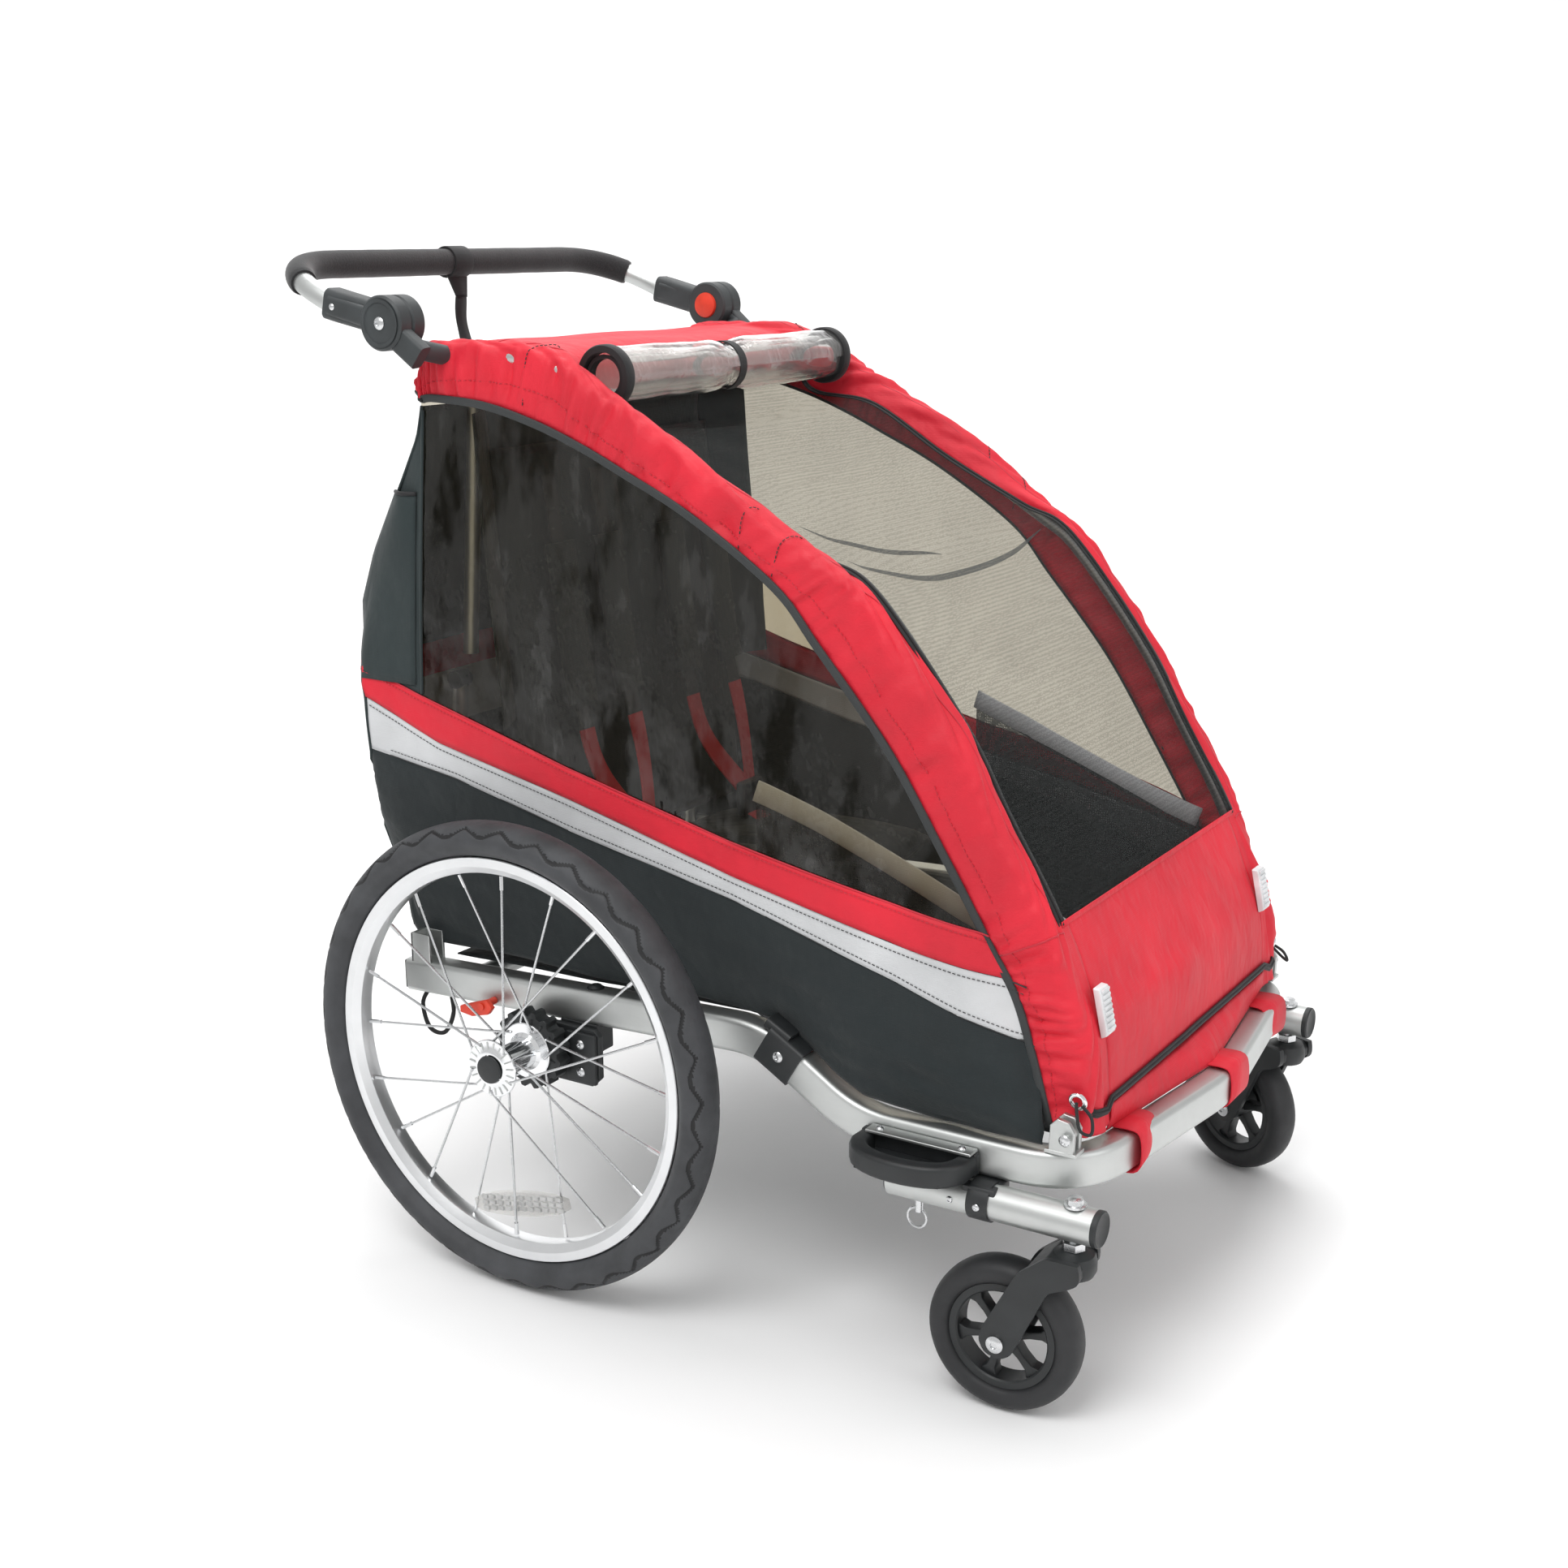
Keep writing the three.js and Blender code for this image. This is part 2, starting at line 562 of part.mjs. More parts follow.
function buildHood() {
  const whole = skin(hoodSurface, -SKIN, 22, HOOD_ROW.length - 1);
  const window = [[-156, 990], [-156, 860], [392, SEAM_Z], [490, SEAM_Z], [490, 990]];
  const hood = cut(
    whole,
    plateXZ(window, -219.5, 219.5),
    block(300, 490, -205, 205, 200, SEAM_Z),
    handleArm(RIGHT, 11.5),
    handleArm(LEFT, 11.5),
  );
  add('hood', hood, 'redFabric');
  const opening = [[-155.5, 990], [-155.5, 861], [392.5, SEAM_Z + 0.5], [490, SEAM_Z + 0.5], [490, 990]];
  add('screen', common(whole, plateXZ(opening, -219, 219)), 'mesh');
  add('front_panel', common(whole, block(300, 490, -204.5, 204.5, 256, SEAM_Z - 0.5)), 'redFabric');
}

// Top and bottom edges of a cabin side from rear to front, in X, top Z and bottom Z.
const SIDE_EDGES = [
  { x: -400, top: 655, bottom: 600 }, { x: -377, top: 736, bottom: 420 }, { x: -340, top: 802, bottom: 338 },
  { x: -306, top: 880, bottom: 337 }, { x: -224, top: 888, bottom: 322 }, { x: -124, top: 862, bottom: 323 },
  { x: -29, top: 822, bottom: 324 }, { x: 62, top: 773, bottom: 324 }, { x: 115, top: 736, bottom: 322 },
  { x: 168, top: 675, bottom: 290 }, { x: 219, top: 616, bottom: 258 }, { x: 262, top: 555, bottom: 257 },
  { x: 305, top: 486, bottom: 257 }, { x: 340, top: 426, bottom: 257 }, { x: 370, top: 370, bottom: 257 },
  { x: 394, top: 290, bottom: 257 },
];

function sideSurface(side) {
  return (u, v) => {
    const place = u * (SIDE_EDGES.length - 1);
    const k = Math.min(Math.floor(place), SIDE_EDGES.length - 2);
    const mix = (key) => SIDE_EDGES[k][key] + (SIDE_EDGES[k + 1][key] - SIDE_EDGES[k][key]) * (place - k);
    const belly = Math.sin(Math.PI * v ** 0.7) * Math.min(1, (mix('top') - mix('bottom')) / 200);
    const y = SIDE_Y.edge + (SIDE_Y.belly - SIDE_Y.edge) * belly;
    return new THREE.Vector3(mix('x'), side * y, mix('bottom') + (mix('top') - mix('bottom')) * v);
  };
}

function buildCabinPanels() {
  for (const [side, name] of SIDES) {
    const panel = skin(sideSurface(side), -side * SKIN, SIDE_EDGES.length - 1, 6);
    add(`side_panel_${name}`, panel, 'window');
  }
  const back = smooth([[-352, 0, 318], [-374, 0, 400], [-386, 0, 470], [-374, 0, 540], [-397, 0, 640],
    [-375, 0, 736], [-340, 0, 805], [-319, 0, 885]]);
  const backSurface = (u, v) => back.getPoint(v).setY(-249 + 498 * u);
  add('rear_panel', skin(backSurface, -SKIN, 2, 16), 'blackFabric');
  const floorLine = [[-300, 306], [112, 316], [205, 262], [418, 262]];
  const floor = [...floorLine, ...floorLine.map(([x, z]) => [x, z - SKIN]).reverse()];
  add('floor_panel', plateXZ(floor, -246, 246), 'blackFabric');
}

function buildSeat() {
  const base = [[-235, 335], [36, 350], [48, 360], [50, 380], [40, 394], [-235, 376]];
  add('seat_base', plateXZ(base, -198, 198), 'blackFabric');
  const backrest = [[-238, 382], [-222, 384], [-242, 600], [-258, 850], [-272, 850], [-258, 600]];
  add('seat_back', plateXZ(backrest, -200, 200), 'blackFabric');
  add('rain_cover', rodY(30, -212, 212, -108, 921, 20), 'clear');
}

buildChassis();
for (const [side, name] of SIDES) buildChassisSide(side, name);
placeWheels();
buildCage();
buildRearFrame();
buildHandle();
buildHood();
buildCabinPanels();
buildSeat();

export default trailer;
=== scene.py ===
"""Looks of the child bicycle trailer: every soft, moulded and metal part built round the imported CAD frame."""
import math

import bmesh
import bpy
import numpy as np
from mathutils import Matrix, Vector, noise


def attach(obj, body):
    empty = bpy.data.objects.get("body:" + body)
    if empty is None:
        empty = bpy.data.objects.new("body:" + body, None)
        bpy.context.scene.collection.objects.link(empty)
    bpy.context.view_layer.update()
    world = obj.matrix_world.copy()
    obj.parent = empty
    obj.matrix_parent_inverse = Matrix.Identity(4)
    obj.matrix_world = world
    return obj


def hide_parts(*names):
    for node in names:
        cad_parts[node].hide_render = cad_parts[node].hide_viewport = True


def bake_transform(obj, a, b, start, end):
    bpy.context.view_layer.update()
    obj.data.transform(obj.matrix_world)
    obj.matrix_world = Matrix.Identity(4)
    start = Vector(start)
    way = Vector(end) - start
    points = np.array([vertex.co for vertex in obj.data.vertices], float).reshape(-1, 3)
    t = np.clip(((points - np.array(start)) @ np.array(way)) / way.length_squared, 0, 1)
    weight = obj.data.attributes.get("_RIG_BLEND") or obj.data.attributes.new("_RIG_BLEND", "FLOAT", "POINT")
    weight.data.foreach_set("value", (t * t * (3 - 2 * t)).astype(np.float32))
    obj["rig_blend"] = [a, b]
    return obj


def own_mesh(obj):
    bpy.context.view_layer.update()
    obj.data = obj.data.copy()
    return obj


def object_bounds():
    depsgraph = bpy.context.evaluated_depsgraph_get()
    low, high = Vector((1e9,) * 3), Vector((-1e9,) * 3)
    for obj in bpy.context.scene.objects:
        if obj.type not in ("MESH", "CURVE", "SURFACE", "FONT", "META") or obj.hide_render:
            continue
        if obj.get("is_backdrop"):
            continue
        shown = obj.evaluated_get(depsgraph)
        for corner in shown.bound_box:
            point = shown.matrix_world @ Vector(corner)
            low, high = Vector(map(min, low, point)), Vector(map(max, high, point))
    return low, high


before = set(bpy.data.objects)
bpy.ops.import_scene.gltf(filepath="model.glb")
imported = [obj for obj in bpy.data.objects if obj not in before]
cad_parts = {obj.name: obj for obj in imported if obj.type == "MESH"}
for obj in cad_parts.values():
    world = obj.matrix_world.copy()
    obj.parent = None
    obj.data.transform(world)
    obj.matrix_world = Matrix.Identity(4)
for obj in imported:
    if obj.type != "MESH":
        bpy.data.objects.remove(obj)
cad_low, cad_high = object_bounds()

RIGHT, LEFT = -1, 1
SIDES = ((RIGHT, "right"), (LEFT, "left"))
MM = 0.001


# ---- Node helpers ----

def new_material(name, color, rough=0.5, metal=0.0, **sockets):
    """A Principled material; returns it with its tree and shader."""
    material = bpy.data.materials.new(name)
    material.use_nodes = True
    tree = material.node_tree
    shader = tree.nodes["Principled BSDF"]
    shader.inputs["Base Color"].default_value = (*color, 1)
    shader.inputs["Roughness"].default_value = rough
    shader.inputs["Metallic"].default_value = metal
    for key, value in sockets.items():
        shader.inputs[key.replace("_", " ")].default_value = value
    return material, tree, shader


def coords(tree, scale=(1, 1, 1)):
    """Object coordinates, stretched by scale."""
    where = tree.nodes.new("ShaderNodeTexCoord")
    mapping = tree.nodes.new("ShaderNodeMapping")
    mapping.inputs["Scale"].default_value = scale
    tree.links.new(where.outputs["Object"], mapping.inputs["Vector"])
    return mapping.outputs["Vector"]


def noise_of(tree, scale, detail=3.0, stretch=(1, 1, 1), rough=0.55):
    node = tree.nodes.new("ShaderNodeTexNoise")
    node.inputs["Scale"].default_value = scale
    node.inputs["Detail"].default_value = detail
    node.inputs["Roughness"].default_value = rough
    tree.links.new(coords(tree, stretch), node.inputs["Vector"])
    return node.outputs["Fac"]


def wave_of(tree, scale, axis, distortion=0.0):
    node = tree.nodes.new("ShaderNodeTexWave")
    node.bands_direction = axis
    node.inputs["Scale"].default_value = scale
    node.inputs["Distortion"].default_value = distortion
    tree.links.new(coords(tree), node.inputs["Vector"])
    return node.outputs["Fac"]


def maths(tree, operation, a, b=None):
    node = tree.nodes.new("ShaderNodeMath")
    node.operation = operation
    for socket, value in zip(node.inputs, (a, b)):
        if value is None:
            continue
        if isinstance(value, (int, float)):
            socket.default_value = value
        else:
            tree.links.new(value, socket)
    return node.outputs["Value"]


def ramp(tree, factor, stops):
    """A colour ramp; stops are (place, colour)."""
    node = tree.nodes.new("ShaderNodeValToRGB")
    elements = node.color_ramp.elements
    while len(elements) < len(stops):
        elements.new(0.5)
    for element, (place, color) in zip(elements, stops):
        element.position = place
        element.color = (*color, 1)
    tree.links.new(factor, node.inputs["Fac"])
    return node.outputs["Color"]


def spread(tree, factor, low, high):
    """Maps a 0..1 factor onto low..high."""
    node = tree.nodes.new("ShaderNodeMapRange")
    node.inputs["To Min"].default_value = low
    node.inputs["To Max"].default_value = high
    tree.links.new(factor, node.inputs["Value"])
    return node.outputs["Result"]


def bump(tree, shader, layers, socket="Normal"):
    """Stacks bump layers of (height, strength, distance) onto a normal of the shader."""
    previous = None
    for height, strength, distance in layers:
        node = tree.nodes.new("ShaderNodeBump")
        node.inputs["Strength"].default_value = strength
        node.inputs["Distance"].default_value = distance
        tree.links.new(height, node.inputs["Height"])
        if previous:
            tree.links.new(previous, node.inputs["Normal"])
        previous = node.outputs["Normal"]
    tree.links.new(previous, shader.inputs[socket])


def scaled(color, share):
    return tuple(c * share for c in color)


def mottle(tree, shader, factor, color, dark, light, start=0.3, end=0.7):
    """A base colour that varies between two shares of itself."""
    shade = ramp(tree, factor, [(start, scaled(color, dark)), (end, scaled(color, light))])
    tree.links.new(shade, shader.inputs["Base Color"])


def roughen(tree, shader, factor, low, high):
    tree.links.new(spread(tree, factor, low, high), shader.inputs["Roughness"])


def weave(tree, pitch):
    """A plain weave: warp and weft crossing in three directions, so that no UVs are needed."""
    lines = [wave_of(tree, math.pi / 10 / pitch, axis) for axis in "XYZ"]
    return maths(tree, "MULTIPLY", maths(tree, "ADD", lines[0], lines[1]), lines[2])


# ---- Materials ----

def fabric(name, color, sheen, wrinkle, rough=0.75, pitch=0.0016):
    material, tree, shader = new_material(name, color, rough, Sheen_Weight=sheen, Sheen_Roughness=0.5)
    mottle(tree, shader, noise_of(tree, 9, 4), color, 0.86, 1.12)
    roughen(tree, shader, noise_of(tree, 40, 3), rough - 0.08, rough + 0.08)
    ridges = maths(tree, "ABSOLUTE", maths(tree, "SUBTRACT", noise_of(tree, 13, 3, stretch=(1, 1.6, 0.8)), 0.5))
    bump(tree, shader, [
        (weave(tree, pitch), 0.25, 0.0002),
        (noise_of(tree, 60, 4), 0.3, 0.0008 * wrinkle),
        (noise_of(tree, 16, 4, rough=0.6), 0.5, 0.004 * wrinkle),
        (ridges, 0.6, 0.009 * wrinkle),
    ])
    return material


def plastic(name, color, rough=0.45, grain=900):
    material, tree, shader = new_material(name, color, rough)
    mottle(tree, shader, noise_of(tree, 30, 3), color, 0.8, 1.3)
    roughen(tree, shader, noise_of(tree, 120, 2), rough - 0.07, rough + 0.1)
    bump(tree, shader, [(noise_of(tree, grain, 2), 0.18, 0.0003)])
    return material


def metal(name, color, rough, brushed=0.15):
    material, tree, shader = new_material(name, color, rough, 1.0)
    roughen(tree, shader, noise_of(tree, 60, 3, stretch=(1, 12, 12)), rough - 0.06, rough + 0.1)
    mottle(tree, shader, noise_of(tree, 25, 3), color, 0.93, 1)
    bump(tree, shader, [(noise_of(tree, 700, 2), brushed, 0.0001)])
    return material


def rubber(name, color, rough=0.62):
    material, tree, shader = new_material(name, color, rough)
    mottle(tree, shader, noise_of(tree, 22, 5), color, 0.8, 1.45, 0.35, 0.75)
    roughen(tree, shader, noise_of(tree, 80, 3), rough - 0.1, rough + 0.12)
    bump(tree, shader, [(noise_of(tree, 420, 3), 0.25, 0.0004)])
    return material


def foam(name, color):
    material, tree, shader = new_material(name, color, 0.9, Sheen_Weight=0.25)
    pore_depth_and_shade = noise_of(tree, 520, 3)
    # The colour is darkest where the pore bump is lowest and lightest where it is highest: painted shade in the
    # pores.
    mottle(tree, shader, pore_depth_and_shade, color, 0.6, 1.5)
    bump(tree, shader, [(pore_depth_and_shade, 0.6, 0.0007)])
    return material


def film(name, tint, rough, wrinkle, weight=0.92, coat_ior=1.5, painted_reflection_streaks=0.0):
    """A see-through sheet: light goes nearly straight on, and an optional noise map varies the strength of its
    clear coat into dark streaks and bright patches: painted reflections.
    """
    material, tree, shader = new_material(
        name, tint, rough, IOR=1.02, Transmission_Weight=weight, Coat_Weight=1.0, Coat_Roughness=0.06,
        Coat_IOR=coat_ior)
    mottle(tree, shader, noise_of(tree, 7, 3), tint, 0.85, 1.1)
    roughen(tree, shader, noise_of(tree, 18, 2), rough, rough + 0.08)
    waves = noise_of(tree, 9, 5, stretch=(1.0, 1.0, 0.45), rough=0.6)
    bump(tree, shader, [(waves, 0.55, 0.01 * wrinkle)], "Coat Normal")
    if painted_reflection_streaks:
        # Painted reflections: a noise ramp weakens the coat into dark streaks and brings it to full strength in
        # bright patches, standing in for the glints of crumpled film.
        reflection_streak_noise = noise_of(tree, 13, 4, stretch=(1.5, 1.5, 0.6), rough=0.65)
        share = ramp(tree, reflection_streak_noise, [(0.36, (1 - painted_reflection_streaks,) * 3), (0.47, (0.55,) * 3), (0.6, (0.62,) * 3),
                                     (0.64, (1.0,) * 3)])
        tree.links.new(share, shader.inputs["Coat Weight"])
    return material


def netting(name, color, pitch, solid_share, cover):
    """Open knitted mesh: threads round small cells, see-through between them."""
    material, tree, shader = new_material(name, color, 0.8)
    cells = tree.nodes.new("ShaderNodeTexVoronoi")
    cells.feature = "DISTANCE_TO_EDGE"
    cells.inputs["Scale"].default_value = 1 / pitch
    cells.inputs["Randomness"].default_value = 0.45
    tree.links.new(coords(tree), cells.inputs["Vector"])
    threads = maths(tree, "LESS_THAN", cells.outputs["Distance"], solid_share)
    tree.links.new(spread(tree, threads, *cover), shader.inputs["Alpha"])
    mottle(tree, shader, noise_of(tree, 12, 3), color, 0.8, 1.2)
    bump(tree, shader, [(cells.outputs["Distance"], 0.3, 0.0005)])
    return material


MATERIALS = {
    "red": fabric("red_nylon", (0.64, 0.008, 0.026), 0.03, 1.3, 0.62),
    "black": fabric("black_cloth", (0.0085, 0.014, 0.0155), 0.12, 1.0, 0.82),
    "rear": fabric("rear_cloth", (0.014, 0.024, 0.025), 0.12, 0.7, 0.82),
    "grey": fabric("reflective_band", (0.57, 0.58, 0.59), 0.05, 0.35, 0.55),
    "trim": fabric("black_trim", (0.008, 0.008, 0.009), 0.1, 0.2, 0.7, 0.0011),
    "binding": fabric("binding_tape", (0.026, 0.029, 0.030), 0.1, 0.3, 0.65, 0.0011),
    "alloy": metal("satin_alloy", (0.60, 0.615, 0.605), 0.42),
    "rim": metal("rim_alloy", (0.80, 0.81, 0.82), 0.30),
    "steel": metal("zinc_steel", (0.70, 0.71, 0.72), 0.24),
    "polished": metal("polished_alloy", (0.86, 0.87, 0.88), 0.12, 0.05),
    "plastic": plastic("black_plastic", (0.016, 0.018, 0.019), 0.46),
    "joint": plastic("grey_black_plastic", (0.034, 0.039, 0.041), 0.5),
    "label": plastic("blank_label", (0.80, 0.47, 0.20), 0.5, 300),
    "red_plastic": plastic("red_plastic", (0.66, 0.045, 0.018), 0.38, 500),
    "rubber": rubber("tyre_rubber", (0.043, 0.045, 0.049)),
    # Near-black rubber for the deepest groove faces of the tyres: painted shade in the grooves.
    "groove_shade": rubber("painted_groove_shade", (0.007, 0.007, 0.008)),
    "caster_rubber": rubber("caster_rubber", (0.016, 0.0165, 0.018), 0.55),
    "foam": foam("grip_foam", (0.014, 0.014, 0.015)),
    # The smoked film's last number turns on its painted reflection streaks.
    "window": film("smoked_film", (0.31, 0.268, 0.185), 0.03, 2.4, 0.985, 1.65, 0.93),
    "clear": film("clear_film", (0.80, 0.79, 0.77), 0.08, 1.8, 0.92),
    "net": netting("screen_net", (0.016, 0.019, 0.018), 0.0031, 0.14, (0.24, 0.46)),
    "fold": netting("folded_net", (0.020, 0.024, 0.024), 0.0026, 0.20, (0.50, 0.85)),
    "dense_net": netting("pocket_net", (0.012, 0.014, 0.015), 0.0026, 0.24, (0.55, 0.90)),
    "red_webbing": fabric("red_webbing", (0.46, 0.012, 0.02), 0.1, 0.2, 0.7, 0.0012),
    "thread": fabric("stitch_thread", (0.02, 0.02, 0.021), 0.1, 0.1, 0.6),
    "red_thread": fabric("red_thread", (0.50, 0.012, 0.03), 0.1, 0.1, 0.6),
    "reflector": plastic("clear_reflector", (0.62, 0.63, 0.64), 0.2, 260),
}


# ---- Mesh helpers ----

def linked(name, data):
    """A new object, in the scene."""
    obj = bpy.data.objects.new(name, data)
    bpy.context.scene.collection.objects.link(obj)
    return obj


def piece(name, data, material, body=None, node=None):
    """A named visible piece, with its material, its body and the CAD node that it stands for."""
    obj = linked(name, data)
    obj.data.name = name
    if not obj.data.materials:
        obj.data.materials.append(MATERIALS[material])
    obj.data.shade_smooth()
    if body:
        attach(obj, body)
    if node:
        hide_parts(node)
    return obj


def mesh_from(vertices, faces):
    data = bpy.data.meshes.new("piece")
    data.from_pydata([tuple(v) for v in vertices], [], [tuple(f) for f in faces])
    data.validate()
    data.update()
    return data


def sharpen(obj, angle=35):
    """Smooth faces with crisp edges above the angle."""
    attributes = obj.data.attributes
    edges = attributes.get("sharp_edge") or attributes.new("sharp_edge", "BOOLEAN", "EDGE")
    bm = bmesh.new()
    bm.from_mesh(obj.data)
    bm.edges.ensure_lookup_table()
    limit = math.radians(angle)
    flags = [len(e.link_faces) != 2 or e.calc_face_angle(0) > limit for e in bm.edges]
    bm.free()
    edges.data.foreach_set("value", flags)
    return obj


def merged(meshes):
    """One mesh from several (vertices, faces) pairs."""
    vertices, faces = [], []
    for v, f in meshes:
        base = len(vertices)
        vertices.extend(v)
        faces.extend([tuple(i + base for i in face) for face in f])
    return vertices, faces


def moved(matrix, shape):
    """A (vertices, faces) pair put in place by a matrix."""
    return [matrix @ v for v in shape[0]], shape[1]


def grid_faces(across, along):
    """The faces of a grid of points stored row by row, across rows of along cells each."""
    row = along + 1
    return [(i * row + j, i * row + j + 1, (i + 1) * row + j + 1, (i + 1) * row + j)
            for i in range(across) for j in range(along)]


def grid(surface, us, vs):
    """Vertices and faces of surface(u, v) at the given parameters."""
    vertices = [Vector(surface(u, v)) for u in us for v in vs]
    return vertices, grid_faces(len(us) - 1, len(vs) - 1)


def even(count, low=0.0, high=1.0):
    return [low + (high - low) * i / count for i in range(count + 1)]


def thicken(obj, thickness):
    """A real thickness for a sheet, half on each side of its mesh."""
    modifier = obj.modifiers.new("thickness", "SOLIDIFY")
    modifier.thickness = thickness
    modifier.offset = 0.0
    return obj


def resample(points, count):
    """Points evenly spaced by arc length on a Catmull-Rom curve through the given ones."""
    fine = [spline(points, i / (12 * len(points))) for i in range(12 * len(points) + 1)]
    lengths = [0.0]
    for a, b in zip(fine, fine[1:]):
        lengths.append(lengths[-1] + (b - a).length)
    total = lengths[-1]
    out, k = [], 0
    for i in range(count):
        want = total * i / (count - 1)
        while k < len(lengths) - 2 and lengths[k + 1] < want:
            k += 1
        span = max(lengths[k + 1] - lengths[k], 1e-9)
        out.append(fine[k].lerp(fine[k + 1], (want - lengths[k]) / span))
    return out


def spline(points, t):
    """Catmull-Rom through the points at t in 0..1, each span an equal share of t."""
    spans = len(points) - 1
    place = min(max(t, 0.0), 1.0) * spans
    k = min(int(place), spans - 1)
    s = place - k
    p = [Vector(points[min(max(k + d, 0), spans)]) for d in (-1, 0, 1, 2)]
    if k == 0:
        p[0] = p[1] * 2 - p[2]
    if k == spans - 1:
        p[3] = p[2] * 2 - p[1]
    return 0.5 * (
        2 * p[1] + (p[2] - p[0]) * s + (2 * p[0] - 5 * p[1] + 4 * p[2] - p[3]) * s * s
        + (3 * p[1] - 3 * p[2] + p[3] - p[0]) * s ** 3
    )


def bent(points, radius, steps=7):
    """A polyline with its inner corners rounded; the radius is one number or one for each corner."""
    points = [Vector(p) for p in points]
    out = [points[0]]
    for i in range(1, len(points) - 1):
        r = radius[i - 1] if hasattr(radius, "__len__") else radius
        before = points[i] + (points[i - 1] - points[i]).normalized() * r
        after = points[i] + (points[i + 1] - points[i]).normalized() * r
        for k in range(steps + 1):
            t = k / steps
            out.append(before * (1 - t) ** 2 + points[i] * 2 * t * (1 - t) + after * t * t)
    out.append(points[-1])
    return out


def round_section(radius, sides=16, flat=1.0):
    return [(radius * math.cos(2 * math.pi * i / sides), radius * flat * math.sin(2 * math.pi * i / sides))
            for i in range(sides)]


def box_section(width, height, chamfer, steps=3):
    """A rectangle with rounded corners; the first size lies across the guide direction."""
    out = []
    for cx, cy, start in ((1, 1, 0), (-1, 1, 90), (-1, -1, 180), (1, -1, 270)):
        for k in range(steps + 1):
            angle = math.radians(start + 90 * k / steps)
            out.append((cx * (width / 2 - chamfer) + chamfer * math.cos(angle),
                        cy * (height / 2 - chamfer) + chamfer * math.sin(angle)))
    return out


def tube(points, section, up=(0, 0, 1), caps=True, closed=False, scale=None):
    """Sweeps a section along points. Its first axis lies across the path and up, its second towards up."""
    points = [Vector(p) for p in points]
    count = len(points)
    up = Vector(up)
    vertices, faces = [], []
    side = None
    for i, p in enumerate(points):
        ahead = points[(i + 1) % count] if closed else points[min(i + 1, count - 1)]
        behind = points[i - 1] if closed or i else points[0]
        run = (ahead - behind).normalized()
        if side is None or abs(run.dot(up)) < 0.98:
            fresh = run.cross(up)
            if side is None and fresh.length < 1e-4:
                fresh = run.cross(Vector((0, 1, 0)))
            fresh.normalize()
            if side is not None and fresh.dot(side) < 0:
                fresh = -fresh
            side = fresh
        side = (side - run * side.dot(run)).normalized()
        top = side.cross(run)
        k = scale[i] if scale else 1.0
        vertices.extend(p + side * (a * k) + top * (b * k) for a, b in section)
    n = len(section)
    rings = count if closed else count - 1
    for i in range(rings):
        for j in range(n):
            a, b = i * n + j, i * n + (j + 1) % n
            c = (i + 1) % count * n
            faces.append((a, b, c + (j + 1) % n, c + j))
    if caps and not closed:
        faces.append(tuple(range(n))[::-1])
        faces.append(tuple((count - 1) * n + j for j in range(n)))
    return vertices, faces


def lathe(profile, centre, axis=(0, 1, 0), sides=48, closed=True):
    """Turns a profile of (radius, along) about an axis through centre."""
    axis = Vector(axis).normalized()
    first = axis.orthogonal().normalized()
    second = axis.cross(first)
    centre = Vector(centre)
    vertices, faces = [], []
    n = len(profile)
    for i in range(sides):
        angle = 2 * math.pi * i / sides
        out = first * math.cos(angle) + second * math.sin(angle)
        vertices.extend(centre + out * r + axis * a for r, a in profile)
    for i in range(sides):
        for j in range(n if closed else n - 1):
            a, b = i * n + j, i * n + (j + 1) % n
            c = (i + 1) % sides * n
            faces.append((a, b, c + (j + 1) % n, c + j))
    return vertices, faces


def turned(profile, centre, axis=(0, 1, 0), sides=32):
    """A solid of revolution whose profile runs from the axis back to the axis."""
    return lathe(profile, centre, axis, sides, closed=False)


def slab(outline, low, high, plane="xz", bevel=0.0):
    """An outline given depth: in plane xz the depth is along Y, in yz along X."""
    place = {"xz": lambda a, b, d: (a, d, b), "yz": lambda a, b, d: (d, a, b)}[plane]
    bm = bmesh.new()
    lower = [bm.verts.new(place(a, b, low)) for a, b in outline]
    bottom = bm.faces.new(lower)
    made = bmesh.ops.extrude_face_region(bm, geom=[bottom])
    shift = Vector(place(0, 0, high - low))
    bmesh.ops.translate(bm, vec=shift, verts=[g for g in made["geom"] if isinstance(g, bmesh.types.BMVert)])
    bmesh.ops.recalc_face_normals(bm, faces=bm.faces)
    if bevel:
        bmesh.ops.bevel(bm, geom=list(bm.edges), offset=bevel, segments=3, profile=0.6, affect="EDGES",
                        clamp_overlap=True)
    vertices = [v.co.copy() for v in bm.verts]
    bm.verts.index_update()
    faces = [tuple(v.index for v in f.verts) for f in bm.faces]
    bm.free()
    return vertices, faces


def block(x0, x1, y0, y1, z0, z1, bevel=0.0015):
    return slab([(x0, z0), (x1, z0), (x1, z1), (x0, z1)], min(y0, y1), max(y0, y1), "xz", bevel)


def cut_from(obj, flat):
    """Works out how far a flat width and length would grow to cover the mesh's area; the result is not kept."""
    area = sum(face.area for face in obj.data.polygons)
    width, length = flat
    grow = max(1.0, math.sqrt(area * 1.001 / (width * length)))
    width, length = width * grow, length * grow
    return obj


def fix_normals(data):
    bm = bmesh.new()
    bm.from_mesh(data)
    bmesh.ops.recalc_face_normals(bm, faces=bm.faces)
    bm.to_mesh(data)
    bm.free()
    return data


def solid_piece(name, meshes, material, body, node=None, angle=35):
    """A rigid piece made of one or more closed meshes, with crisp edges above the angle."""
    obj = piece(name, fix_normals(mesh_from(*merged(meshes))), material, body, node)
    return sharpen(obj, angle)


